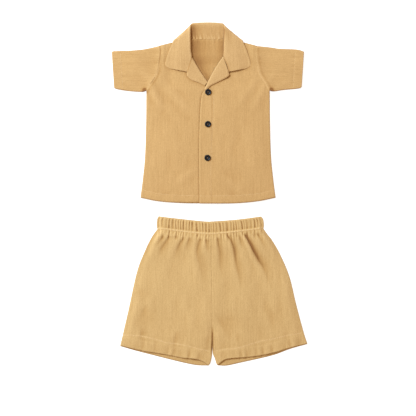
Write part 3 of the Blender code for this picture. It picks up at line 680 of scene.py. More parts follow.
def spread(values, cells, axis):
    """A running mean over this many cells to each side."""
    cells = max(1, int(round(cells)))
    pad = [(0, 0), (0, 0)]
    pad[axis] = (cells + 1, cells)
    total = np.cumsum(np.pad(values, pad, mode="edge"), axis=axis)
    count = 2 * cells + 1
    first, last = (slice(None), slice(count, None)), (slice(None), slice(None, -count))
    if axis == 0:
        first, last = first[::-1], last[::-1]
    return (total[first] - total[last]) / count


def standing_out(x, y, z, reach=5.0, loop=None):
    """How far each place stands above the cloth round it, in millimetres. Nothing beside an open edge."""
    step_x = np.median(np.hypot(np.diff(x, axis=1), np.diff(y, axis=1))) + 1e-6
    step_y = np.median(np.hypot(np.diff(x, axis=0), np.diff(y, axis=0))) + 1e-6
    mean = z
    for _ in range(2):
        mean = spread(spread(mean, reach / step_x, 1), reach / step_y, 0)
    rows, columns = z.shape
    from_end = np.minimum(np.arange(rows), np.arange(rows)[::-1])[:, None] * step_y
    from_side = np.minimum(np.arange(columns), np.arange(columns)[::-1])[None] * step_x
    clear_rows = 1.0 if loop == "rows" else ease(from_end, 0.0, reach)
    clear_columns = 1.0 if loop == "columns" else ease(from_side, 0.0, reach)
    return (z - mean) * clear_rows * clear_columns


def cloth(
    name, x, y, z, at, surface, grow=1.0, loop=None, grain_along_x=False, even_wall=True, tint=0.0
):
    """One cloth wall on a grid of points, given as rows of columns. loop closes a tube by rows or columns.

    A painted highlight makes the cloth paler where tint is above 0 and painted shade darker where it is below
    0, besides the painted light from its relief: paler where it stands up, darker in its hollows. Pale stitch
    lines also come in through tint.
    """
    # Painted light: a painted highlight where the cloth stands above its surroundings, painted shade where it
    # lies below, and the tint.
    painted_light = 0.5 + PAINTED_LIGHT_PER_MILLIMETRE * standing_out(x, y, z, loop=loop) + PAINTED_LIGHT_PER_TINT * tint
    painted_light = np.clip(painted_light, 0.0, 1.0)
    points = np.stack([x + at[0], y + at[1], z], axis=-1) * MM
    if loop == "rows":
        painted_light, points = painted_light[:-1], points[:-1]
    if loop == "columns":
        painted_light, points = painted_light[:, :-1], points[:, :-1]
    rows, columns = points.shape[:2]
    index = np.arange(rows * columns).reshape(rows, columns)
    if loop == "rows":
        index = np.vstack([index, index[:1]])
    if loop == "columns":
        index = np.hstack([index, index[:, :1]])
    corners = (index[:-1, :-1], index[:-1, 1:], index[1:, 1:], index[1:, :-1])
    faces = np.stack([corner.ravel() for corner in corners], axis=-1)
    flat = points.reshape(-1, 3)
    mesh = bpy.data.meshes.new(name)
    mesh.from_pydata(flat.tolist(), [], faces.tolist())
    grain = mesh.uv_layers.new(name="grain")
    places = flat[faces.ravel()][:, [1, 0] if grain_along_x else [0, 1]]
    grain.data.foreach_set("uv", places.ravel())
    painted_light_attribute = mesh.attributes.new("painted_light", "FLOAT", "POINT")
    painted_light_attribute.data.foreach_set("value", painted_light.ravel())
    mesh.shade_smooth()
    obj = new_piece(name, mesh, surface)
    shell = obj.modifiers.new("Cloth wall", "SOLIDIFY")
    shell.thickness = WALL * MM
    shell.offset = grow
    shell.use_even_offset = even_wall
    return obj


def neck_raise(y):
    """How far the folded-under back of the collar lifts the panels that lie on it."""
    return SECOND * ease(y, *COLLAR_RAISE_Y)


def body_side(sign):
    side = [(sign * x, y) for x, y in SIDE]
    armhole = [(sign * x, y) for x, y in ARMHOLE]
    return chain((SIDE_SHARE, side), (ARMHOLE_SHARE, armhole))


def make_shirt_back(surface):
    hem = mirrored(HEM[:0:-1]) + list(HEM)
    shoulder = [*SHOULDER_LINE, NECK_SIDE]
    half_neck = [NECK_SIDE, (NECK_HALF, BACK_NECK_Y), (0.0, BACK_NECK_Y)]
    top = chain(
        (SHOULDER[0] - NECK_SIDE[0], mirrored(shoulder)),
        (2 * NECK_SIDE[0], mirrored(half_neck) + half_neck[-2::-1]),
        (SHOULDER[0] - NECK_SIDE[0], shoulder[::-1]),
    )
    columns, rows = even(BACK_GRID[0]), even(BACK_GRID[1])
    x, y, _ = patch(line_of(hem), top, body_side(-1), body_side(1), columns, rows)
    # In the middle the neck edge reaches in under the collar's stand.
    y = y + NECK_TUCK * ease(y, 330.0, 361.0) * (1 - ease(np.abs(x), 30.0, 44.0))
    neck_seam = [(-NECK_HALF, BACK_NECK_Y), (0.0, BACK_NECK_Y), (NECK_HALF, BACK_NECK_Y)]
    away, along = near_line(neck_seam, x, y)
    puckers = 0.3 * lumps(along, away, 3.4, 40.0, SEED["neck"]) * bell(away, 9, 1)
    z = neck_raise(y) + crinkle(x, y, SEED["back"], 0.2) + np.maximum(puckers, -0.1) * ease(y, 320, 345)
    # Painted shade darkens all the cloth inside the neck, more towards the collar's left roll and a little
    # towards the right one. A painted highlight runs along the neck seam.
    from_roll, _ = near_line([(-BREAK[0], 400.0), (-BREAK[0], BREAK[1]), (0.0, ROLL_FOOT_Y)], x, y)
    roll_shade = bell(np.maximum(from_roll - 3.0, 0.0), 6 + 17 * ease(y, 285.0, 330.0), 1.3)
    # Right beside the roll the shadow that it casts is dark enough, so less shade is painted there.
    roll_shade = roll_shade * (1 - 0.55 * bell(from_roll, 5.0))
    right_shade = ease(x, 12.0, 36.0) * ease(y, 290.0, 330.0)
    tint = 0.3 * bell(away, 1.6, 1) - 0.3 - 0.7 * roll_shade - 0.4 * right_shade
    return cloth("back_panel", x, y, z, SHIRT_AT, surface, tint=tint)


def drag_rise(x, y, drags):
    """How high the soft drags stand, each fading out towards its two ends."""
    rise = 0.0
    for row in drags:
        share, away = along_line(row, x, y)
        fade = np.sin(np.pi * np.clip(share, 0, 1))
        rise = rise + row["rise"] * fade * bell(away, row["wide"])
    return rise


def armhole_rise(y, away, along):
    """The ridge that the seam of the armhole makes in the cloth on both of its sides, with its puckers."""
    height = ARMHOLE_RISE * (1 - 0.5 * ease(y, 300.0, 345.0))
    puckers = 0.2 * lumps(along, away, 5.5, 13.0, SEED["armhole"]) * bell(away, 8, 1)
    return height * bell(away, 14, 1) + puckers


def underarm_shade(x, y):
    """How much painted shade darkens the cloth in the tight corner under each arm."""
    away = np.hypot(np.abs(x) - UNDERARM[0] - 3.5, y - UNDERARM[1] - 0.5)
    return 1.9 * bell(away, 5.5)


def painted_seam_light(y, away, sign, on_sleeve):
    """Painted light along the armhole seam: a painted highlight where the seam stands up lower down, a fine
    painted dark line high up on the wearer's right front, and painted shade beside the seam.
    """
    high = ease(y, 285.0, 318.0)
    if on_sleeve:
        beside = 0.08 if sign < 0 else 0.3 * bell(away - 5.0, 3.0)
        return (0.35 + 0.6 * (1 - high)) * bell(away, 2.2) - beside
    line = 0.8 * (1 - high) - 0.75 * high * (sign < 0) + 0.25 * high * (sign > 0)
    beside = 0.4 * (1 - high) * (sign < 0) * bell(away - 5.0, 2.4)
    return line * bell(away, 1.3 + 0.9 * (1 - high)) - beside


def overlay_shade(x, y, sign, lapel):
    """How much painted shadow darkens a front just outside the lapel and the collar's leaf that lie on it."""
    leaf = [(-sign * row["edge"][0], row["edge"][1]) for row in COLLAR_LINES[:8]]
    from_leaf, _ = near_line([(sign * 46.8, 290.6), *leaf], x, y)
    from_lapel, _ = near_line([(sign * px, py) for px, py in lapel], x, y)
    return 0.3 * bell(from_leaf, 4.5, 1.5) + 0.55 * bell(from_lapel, 4.0, 1.5)


def front_level(x, y, across, up, width, sign, hem_stitch, hem_line, seed):
    """How far a front stands above its lowest level. across runs from the side seam to the opening."""
    inside = ease(across, *PUFF_FROM_SIDE) * ease(1 - across, *PUFF_FROM_OPENING)
    under_collar = 1 - UNDER_COLLAR_PRESS * ease(y, *UNDER_COLLAR_Y) * (1 - ease(np.abs(x), 84.0, 102.0))
    level = inside * under_collar * CLOTH_PUFF
    level = level + ease(across, 0.0, 0.06) * under_collar * drag_rise(x, y, SHIRT_DRAGS)
    level = level + 0.36 * inside * lumps(x, y, 34.0, 60.0, seed + 20)
    level = level + 0.2 * inside * lumps(x, y, 14.0, 30.0, seed + 21)
    # The side seam and the shoulder come down to the back.
    below_sleeve = 1 - ease(y, UNDERARM[1] - 14.0, UNDERARM[1])
    level = level - (SECOND - SEWN) * (1 - ease(across * width, 0.0, 3.0)) * below_sleeve
    level = level - (SECOND - SEWN) * (1 - ease(1 - up, 0.0, 0.03))
    armhole = [(sign * px, py) for px, py in ARMHOLE]
    from_armhole, along = near_line(armhole, x, y)
    level = level + armhole_rise(y, from_armhole, along)
    # The turned hem is thicker, with a trough along its stitches.
    from_hem, _ = near_line(hem_line, x, y)
    level = level + 0.25 * (1 - ease(from_hem, SHIRT_HEM_DEPTH - 1.5, SHIRT_HEM_DEPTH + 1.0))
    level = level + stitched(hem_stitch, x, y, seed + 6, 0.18)
    return level + crinkle(x, y, seed)


def make_front_under(surface):
    """The wearer's right front, whose edge lies hidden under the other front."""
    hem = [(-HEM_HALF, 13.6), (-108.7, 5.7), (-63.0, 2.6), (UNDERLAP_EDGE_X, 2.4)]
    roll = [(UNDERLAP_EDGE_X, PLACKET_TOP_Y)] + mirrored(ROLL_LINE)
    neckline = [roll[-1]] + mirrored(NECKLINE)
    opening = chain(
        (SIDE_SHARE, [hem[-1], roll[0]]),
        (ROLL_SHARE, roll),
        (NECKLINE_SHARE, neckline),
    )
    shoulder = mirrored(SHOULDER_LINE) + [neckline[-1]]
    columns, rows = even(FRONT_GRID[0]), even(FRONT_GRID[1])
    x, y, width = patch(line_of(hem), line_of(shoulder), body_side(-1), opening, columns, rows)
    across, up = np.broadcast_to(columns[None], x.shape), np.broadcast_to(rows[:, None], x.shape)
    level = front_level(x, y, across, up, width, -1, HEM_STITCH_UNDER, hem, SEED["front_under"])
    # The hidden underlap stays flat below the placket.
    underlap = ease(x, OVERLAP_EDGE_X - 2.0, OVERLAP_EDGE_X + 6.0) * (1 - ease(y, 255, 270))
    level = level * (1 - 0.9 * underlap)
    # The cloth dips along the edge of the front that laps it, with painted shade in the dip.
    from_edge, _ = near_line(PLACKET_EDGE, x, y)
    groove = bell(from_edge, 3.0) * (1 - ease(y, 246, 256))
    z = SECOND + neck_raise(y) + level - 0.45 * groove
    # Painted shade under the arm, in the dip and beside the lapel and the collar's leaf, and painted light
    # along the armhole seam. The hem's stitch line is paler.
    tint = stitch_tint(HEM_STITCH_UNDER, x, y) - 0.28 * groove - underarm_shade(x, y)
    from_armhole, _ = near_line(mirrored(ARMHOLE), x, y)
    tint = tint + painted_seam_light(y, from_armhole, -1, False)
    tint = tint - overlay_shade(x, y, -1, mirrored(LAPEL_UNDER))
    return cloth("front_under", x, y, z, SHIRT_AT, surface, tint=tint)


def make_front_over(surface):
    """The wearer's left front, on top at the placket."""
    hem = [(OVERLAP_EDGE_X + 1, 0.8), (56.0, 1.2), (108.7, 5.7), (HEM_HALF, 13.6)]
    roll = [PLACKET_EDGE[-1], *ROLL_LINE]
    neckline = [roll[-1], *NECKLINE]
    opening = chain(
        (SIDE_SHARE, PLACKET_EDGE),
        (ROLL_SHARE, roll),
        (NECKLINE_SHARE, neckline),
    )
    shoulder = [neckline[-1], *SHOULDER_LINE[::-1]]
    columns, rows = even(FRONT_GRID[0]), even(FRONT_GRID[1])
    x, y, width = patch(line_of(hem), line_of(shoulder), opening, body_side(1), columns, rows)
    across, up = np.broadcast_to(1 - columns[None], x.shape), np.broadcast_to(rows[:, None], x.shape)
    over = SECOND * (1 - ease(x, *OVERLAP_RAMP_X)) * (1 - ease(y, *OVERLAP_RAMP_Y))
    level = front_level(x, y, across, up, width, 1, HEM_STITCH_OVER, hem, SEED["front_over"])
    # The facing is a second layer under the placket, sewn down along its inner edge.
    below_lapel = 1 - ease(y, 246, 254)
    from_edge, _ = near_line(PLACKET_EDGE, x, y)
    facing = 1 - ease(x, PLACKET_STITCH[0][0] - 1.0, PLACKET_STITCH[0][0] + 2.5)
    level = level + below_lapel * 0.5 * facing
    level = level + below_lapel * stitched(PLACKET_STITCH, x, y, SEED["placket"], 0.15, 1.3, 0.12)
    level = level + 0.35 * below_lapel * bell(from_edge - 2.6, 1.8)
    # Painted highlights along the placket's edge and just past its stitches. Painted shade under the arm and
    # beside the lapel and the collar's leaf, and painted light along the armhole seam.
    from_stitch, _, side = near_line(PLACKET_STITCH, x, y, sided=True)
    past_stitch = bell(-side * from_stitch - 1.6, 1.6)
    tint = below_lapel * (0.15 * bell(from_edge, 2.0) + 0.28 * past_stitch)
    tint = tint - underarm_shade(x, y)
    tint = tint + stitch_tint(HEM_STITCH_OVER, x, y) - overlay_shade(x, y, 1, LAPEL_OVER)
    from_armhole, _ = near_line(ARMHOLE, x, y)
    tint = tint + painted_seam_light(y, from_armhole, 1, False)
    z = SECOND + over + neck_raise(y) + level
    return cloth("front_over", x, y, z, SHIRT_AT, surface, tint=tint)


def make_lapel(name, sign, base, lead, seed, surface):
    """The part of a front facing that is turned back over the front, with its fold at the neck opening."""
    outer = [(sign * x, y) for x, y in lead]
    fold = [(sign * x, y) for x, y in (LAPEL_FOLD_OVER if sign > 0 else LAPEL_FOLD_UNDER)]
    gorge = [outer[-1], fold[-1]]
    foot = [outer[0], fold[0]]
    edges = [foot, gorge, outer, fold]
    if sign > 0:
        edges = [foot[::-1], gorge[::-1], fold, outer]
    columns, rows = even(LAPEL_GRID[0]), even(LAPEL_GRID[1])
    low, high, left, right = (line_of(points) for points in edges)
    x, y, width = patch(low, high, left, right, columns, rows)
    from_fold = np.broadcast_to(columns[None] if sign > 0 else 1 - columns[None], x.shape)
    up = np.broadcast_to(rows[:, None], x.shape)
    # The facing rolls over at its fold, swells in the middle and thins towards its outer edge.
    turned = 1 - np.clip(from_fold * width / LAPEL_TURN_WIDTH, 0, 1)
    turned = LAPEL_TURN * (1 - np.sqrt(1 - turned**2))
    swell = LAPEL_PUFF * np.sin(np.pi * from_fold) ** 0.7 * (0.4 + 0.6 * up)
    from_edge, along = near_line(outer, x, y)
    rim = 0.22 * bell(from_edge - 3.2, 1.6) - 0.3 * bell(from_edge, 1.0)
    rim = rim + 0.12 * lumps(along, from_edge, 6.0, 9.0, seed) * bell(from_edge, 6, 1)
    # At the gorge the lapels come to the level of the collar's leaves: one up, the other down.
    to_leaf, gorge_shade = (0.8, 0.6) if sign < 0 else (-0.4, 0.0)
    from_gorge, _ = near_line(gorge, x, y)
    rim = rim + to_leaf * bell(from_gorge, 9, 1.5)
    z = base + neck_raise(y) + swell - turned + rim + crinkle(x, y, seed, 0.2)
    # A painted highlight along the outer edge, and painted shade at the gorge of the lapel underneath.
    tint = 0.2 * bell(from_edge, 1.8) - gorge_shade * bell(from_gorge - 0.9, 1.4)
    return cloth(name, x, y, z, SHIRT_AT, surface, even_wall=False, tint=tint)


def collar_rows():
    """The cross lines from one front end to the other, with the right roll and both ends moved in."""
    rows = [dict(row) for row in COLLAR_LINES]
    for row in COLLAR_LINES[-2::-1]:
        rows.append({key: (-row[key][0], row[key][1]) for key in COLLAR_KEYS} | {"levels": row["levels"]})
    for row in rows:
        fold_x, fold_y = row["fold"]
        inward = RIGHT_ROLL_IN * float(ease(fold_y, 312.0, 330.0)) if fold_x > 1.0 else 0.0
        at_gorge = GORGE_LAP * (1 - float(ease(fold_y, 318.0, 336.0)))
        row["fold"] = (fold_x - inward - math.copysign(at_gorge, fold_x), fold_y)
        row["turn"] = (0.5 + 0.35 * at_gorge / GORGE_LAP,)
    return rows


def read_between(rows, key, shares):
    """This key's values on a smooth curve through the rows."""
    padded = padded_ends(np.array([row[key] for row in rows], float))
    at = shares * (len(rows) - 1)
    first = np.minimum(at.astype(int), len(rows) - 2)
    return curve_between(*(padded[first + shift] for shift in range(4)), (at - first)[:, None])


def collar_section(share, seam, fold, edge, levels, turn):
    """One cross line of the collar: up the stand from the neck seam, over the fold and down the fall."""
    from_centre, from_end = abs(share - 0.5), 0.5 - abs(share - 0.5)
    at_back = 1 - float(ease(from_centre, 0.06, 0.13))
    filled = float(ease(from_centre, *LEAF_FILL))
    rolled = filled * float(ease(from_end, 0.05, 0.17))
    at_end = 1 - float(ease(from_end, 0.03, 0.12))
    stand, fall, rim = levels
    fall, rim = fall - 0.2 * rolled - (0.5 if share < 0.5 else 0.1) * at_end, rim - 0.5 * filled
    seam = seam - (0.0, 1.2 * at_back)
    section = []
    for part in COLLAR_STAND_STOPS:
        lapped = SEAM_LAP * at_back * (1 - float(ease(part, 0.0, 0.4)))
        section.append((*((1 - part) * seam + part * fold), stand + lapped))
    for part in COLLAR_FALL_STOPS:
        puff = COLLAR_PUFF * filled * math.sin(math.pi * part) ** 2
        puff += ROLL_RISE * rolled * bell(part - 0.08, 0.14) * min(1.0, part / 0.06)
        level = fall + (rim - fall) * float(ease(part, 0.1, 1.0)) + puff
        if part == 0:
            level = stand + (fall - stand) * float(turn[0])
        section.append((*((1 - part) * fold + part * edge), level))
    return smooth(section, even(COLLAR_GRID[0]))


def make_collar(surface):
    """One strip of cloth: neck seam, stand, fold line, then the fall. Its back is folded under the neck."""
    shares = even(COLLAR_GRID[1])
    rows = collar_rows()
    read = {key: read_between(rows, key, shares) for key in (*COLLAR_KEYS, "levels", "turn")}
    lines = zip(shares, read["seam"], read["fold"], read["edge"], read["levels"], read["turn"])
    points = np.array([collar_section(*line) for line in lines])
    x, y, z = points[..., 0], points[..., 1], points[..., 2]
    from_seam, from_fold, from_edge = (
        np.hypot(x - read[key][:, :1], y - read[key][:, 1:]) for key in ("seam", "fold", "edge")
    )
    from_centre = np.abs(shares - 0.5)[:, None]
    on_leaf = ease(from_centre, *LEAF_FILL)
    in_neck = 1 - ease(from_centre, 0.13, 0.19)
    z = z + on_leaf * (0.2 * bell(from_edge - 4.0, 2.0) - 0.3 * bell(from_edge, 1.2))
    z = z + on_leaf * (crinkle(x, y, SEED["collar"], 0.12) - 0.06)
    above_neck = z > 1.5
    # Small puckers where the back of the stand is sewn to the neck.
    puckers = lumps(x + 0.2 * from_seam, from_seam, 2.1, 16.0, SEED["collar_neck"])
    puckers = in_neck * puckers * bell(from_seam, 5.5, 1) * above_neck
    z = z + 0.45 * puckers
    columns = even(COLLAR_GRID[0])[None] * np.ones_like(x)
    on_stand = (1 - ease(columns, 0.34, 0.42)) * above_neck
    # Painted highlights on the raised puckers and along the leaves' edges, and painted shade on the stand
    # inside the neck, most beside the left roll.
    beside_left, beside_right = np.maximum(x + 36.0, 0.0), np.maximum(36.0 - x, 0.0)
    shade = 0.25 + 0.75 * bell(beside_left, 15, 1.4) + 0.3 * bell(beside_right, 7, 1)
    tint = 0.95 * np.maximum(puckers, -0.25) - shade * in_neck * on_stand
    tint = tint + 0.05 * on_leaf * bell(from_edge, 1.8)
    # Painted shade on the right leaf beside its fold, more of it up towards the back of the neck.
    turned_away = 0.9 * bell(from_fold, 3.2) + 0.7 * ease(y, 340.0, 385.0) * bell(from_fold, 16)
    tint = tint - turned_away * (x > 0) * on_leaf
    # Painted shade where the leaf's outer edge rolls round the back of the neck.
    turning = bell(from_centre - 0.17, 0.04)
    tint = tint - 0.5 * turning * (x < 0) * above_neck * ease(columns, 0.4, 0.5)
    return cloth(
        "folded_collar", x, y, z, SHIRT_AT, surface, grow=0.0, even_wall=False, tint=tint
    )


def make_sleeve(name, sign, top, bottom, cuff, seed, surface):
    """A flattened tube, folded along its top: flat below, softly filled above."""
    armhole = [(sign * x, y) for x, y in ARMHOLE]
    ends = (armhole, cuff) if sign > 0 else (cuff, armhole)
    columns, around = even(SLEEVE_GRID[0]), even(SLEEVE_GRID[1])
    # Round the tube, up goes from the fold under the arm to the fold on top and back again.
    angle = 2 * np.pi * around
    up = 0.5 - 0.5 * np.cos(angle)
    order = np.argsort(up, kind="stable")
    edges = (line_of(points) for points in (bottom, top, *ends))
    plan_x, plan_y, _ = patch(*edges, columns, up[order])
    back = np.argsort(order)
    x, y = plan_x[back], plan_y[back]
    turn = np.sin(angle)[:, None] * np.ones_like(x)
    rise = np.minimum(1.0, np.abs(turn) * TUBE_STEEPNESS)
    from_armhole, along = near_line(armhole, x, y)
    from_cuff, _ = near_line(cuff, x, y)
    facing_up = np.clip(turn * 3, 0, 1)
    shape = crinkle(y, x, seed, 0.24) + 0.35 * lumps(x, y, 42.0, 26.0, seed + 7) * ease(from_armhole, 0, 12)
    shape = shape + drag_rise(x, y, SLEEVE_DRAGS)
    hem_line = [(x0 - sign * CUFF_HEM_DEPTH, y0) for x0, y0 in cuff]
    shape = shape + 0.25 * (1 - ease(from_cuff, CUFF_HEM_DEPTH - 1.5, CUFF_HEM_DEPTH + 1))
    shape = shape + stitched(hem_line, x, y, seed + 9, 0.15)
    # Near the armhole the tube flattens to the level of the body, which it laps by a little.
    sewn = SECOND + WALL + neck_raise(y) + armhole_rise(y, from_armhole / 2, along) + SLEEVE_LAP_RISE
    near = bell(from_armhole, 16, 1.5)
    half = SLEEVE_HEIGHT / 2 * (SLEEVE_SEWN_SHARE + (1 - SLEEVE_SEWN_SHARE) * ease(from_armhole, 0.0, 14.0))
    crown = (1 - near) * (SLEEVE_HEIGHT - 0.5) + near * sewn
    above = half + (crown - half) * rise + SLEEVE_SWELL * turn**2 * ease(from_armhole, 16.0, 60.0)
    z = np.where(turn > 0, above + facing_up * shape, half * (1 - rise))
    x = x - sign * SLEEVE_LAP * bell(from_armhole, 2.5) * facing_up
    # Painted light along the armhole seam, a painted highlight at the cuff's edge, and painted shade under
    # the arm and along the tube's two folds. The cuff's stitch line is paler.
    tint = painted_seam_light(y, from_armhole, sign, True) + 0.15 * bell(from_cuff, 1.6)
    tint = tint - underarm_shade(x, y) - 0.6 * bell(turn, 0.25) + stitch_tint(hem_line, x, y)
    return cloth(
        name, x, y, z, SHIRT_AT, surface, grow=-1.0, loop="rows", grain_along_x=True, tint=tint
    )


def gather(share, up):
    """The band's gathers: soft ribs of uneven width and height with narrower grooves between them."""
    phase = BAND_RIBS * share + 0.3 * np.sin(23.0 * share + 1.1) + 0.12 * np.sin(61.0 * share)
    phase = phase + 0.05 * np.sin(97.0 * share + 2.0) + 0.2 * (up - 0.4) * np.sin(31.0 * share + 2.0)
    groove = (0.5 * (1 + np.cos(2 * np.pi * phase))) ** 1.5
    depth = 0.6 + 0.4 * lumps(phase, up, 1.0, 0.8, SEED["gathers"])
    return 1 - groove * depth


def make_waistband(surface):
    """A flattened tube, gathered in front and flat below, with a ridge of stitched cloth along its foot."""
    outline = (BAND_FOOT, BAND_TOP, BAND_LEFT, BAND_RIGHT)
    # The columns run along the front from left to right, then along the back from right to left.
    front = BAND_RIBS * RIB_SAMPLES
    count = front + BAND_BACK_COLUMNS
    index = np.arange(count + 1)
    on_front = index <= front
    share = np.where(on_front, index / front, 1 - (index - front) / BAND_BACK_COLUMNS)
    up = even(BAND_ROWS)
    order = np.argsort(share, kind="stable")
    plan_x, plan_y, _ = patch(*(line_of(points) for points in outline), share[order], up)
    back = np.argsort(order)
    x, y = plan_x[:, back], plan_y[:, back]
    share, up = share[None], up[:, None]
    fill = np.minimum(1.0, np.minimum(share, 1 - share) / BAND_FILL_SHARE)
    # The ribs are pressed flat along the top edge and along the foot.
    pressed = 1 - 0.8 * ease(up, 0.8, 1.0) - 0.8 * (1 - ease(up, 0.12, 0.24))
    rib = RIB_RISE * (1 - pressed * (1 - gather(share, up)))
    rib = rib + 0.3 * lumps(BAND_RIBS * share, up, 1.3, 0.7, SEED["band_rib"])
    ridge = bell(up - 0.06, 0.07)
    top_edge = -0.7 * ease(up, 0.9, 1.0)
    front_z = BAND_EDGE_Z + fill * (BAND_FRONT_Z - BAND_EDGE_Z + rib + BAND_RIDGE * ridge + top_edge)
    front_z = front_z + fill * crinkle(x, y, SEED["band"], 0.14)
    lip = BAND_LIP * np.sin(np.pi * share) * ease(up, 0.5, 1.0)
    at_side = (share <= 0) | (share >= 1)
    back_z = np.where(at_side, BAND_EDGE_Z, 0.0) * np.ones_like(up)
    z = np.where(on_front[None], front_z, back_z)
    y = np.where(on_front[None], y, y + lip)
    # A painted highlight along the ridge at the foot, a little painted shade over the front except along its
    # top edge, and painted shade on the back that shows above it.
    tint = np.where(on_front[None], ridge - 0.16 + 0.16 * ease(up, 0.86, 1.0), -0.4)
    return cloth(
        "gathered_band", x, y, z, SHORTS_AT, surface, grow=-1.0, loop="columns", tint=tint
    )


def under_band(start, end):
    """The line just above the band's foot, between two shares of it, where a panel ends."""

    def place(shares):
        return smooth(BAND_FOOT, start + (end - start) * shares) + (0.0, PANEL_LAP)

    return place


def fold_shape(x, y):
    """How deep the folds are at each place. Each drops steeply on its left and rises softly on its right."""
    deep = 0.0
    for row in BAND_FOLDS + LEG_FOLDS:
        away, along, side = near_line(row["line"], x, y, sided=True)
        share = along / length_of(row["line"])
        start = 0.15 + 0.85 * ease(along, 0.0, 8.0) if row in BAND_FOLDS else ease(share, 0.0, 0.5)
        fade = start * (1 - ease(share, 0.2, 1.1)) ** 0.8
        wide = row["wide"] * (0.9 + 1.5 * share)
        right = away * side - 0.5 * wide
        drop = bell(right, np.where(right < 0, wide, 3.2 * wide))
        crest = bell(right + 2.3 * wide, 1.4 * wide)
        deep = deep + row["deep"] * fade * (drop - 0.3 * crest)
    return deep


def shorts_plan(hem, side, inner, foot_span, is_front):
    """A panel's flat grid, its width at each row, the shares across and up, and its edge at the centre."""
    foot = under_band(*foot_span)
    on_left = side is LEFT_SIDE
    # Above the crotch the two panels are sewn to each other along the centre.
    toward, closing = (CENTRE_CLOSE, (50.0, 80.0)) if is_front else (BACK_CLOSE, (12.0, 34.0))
    toward = toward if on_left else -toward
    inner = [(px + toward * float(ease(py, *closing)), py) for px, py in inner]
    inner = inner + [tuple(foot(np.array([1.0 if on_left else 0.0]))[0])]
    left, right = (side, inner) if on_left else (inner, side)
    columns, rows = (even(count) for count in (SHORTS_FRONT_GRID if is_front else SHORTS_BACK_GRID))
    if is_front:
        rows = 1 - (1 - rows) ** ROWS_TO_BAND
    x, y, width = patch(line_of(hem), foot, line_of(left), line_of(right), columns, rows)
    across, up = np.broadcast_to(columns[None], x.shape), np.broadcast_to(rows[:, None], x.shape)
    return x, y, width, across, up, inner


def make_shorts_back(name, hem, side, inner, foot_span, seed, surface):
    """A back panel, flat on the surface. Only its foot shows, inside the leg opening."""
    x, y, *_ = shorts_plan(hem, side, inner, foot_span, False)
    from_hem, _ = near_line(hem, x, y)
    # A painted highlight along the hem's edge, and painted shade over the rest, which shows only inside the
    # leg opening.
    tint = 0.3 * bell(from_hem, 2.6) - 0.22
    z = crinkle(x, y, seed, 0.16)
    return cloth(name, x, y, z, SHORTS_AT, surface, tint=tint)


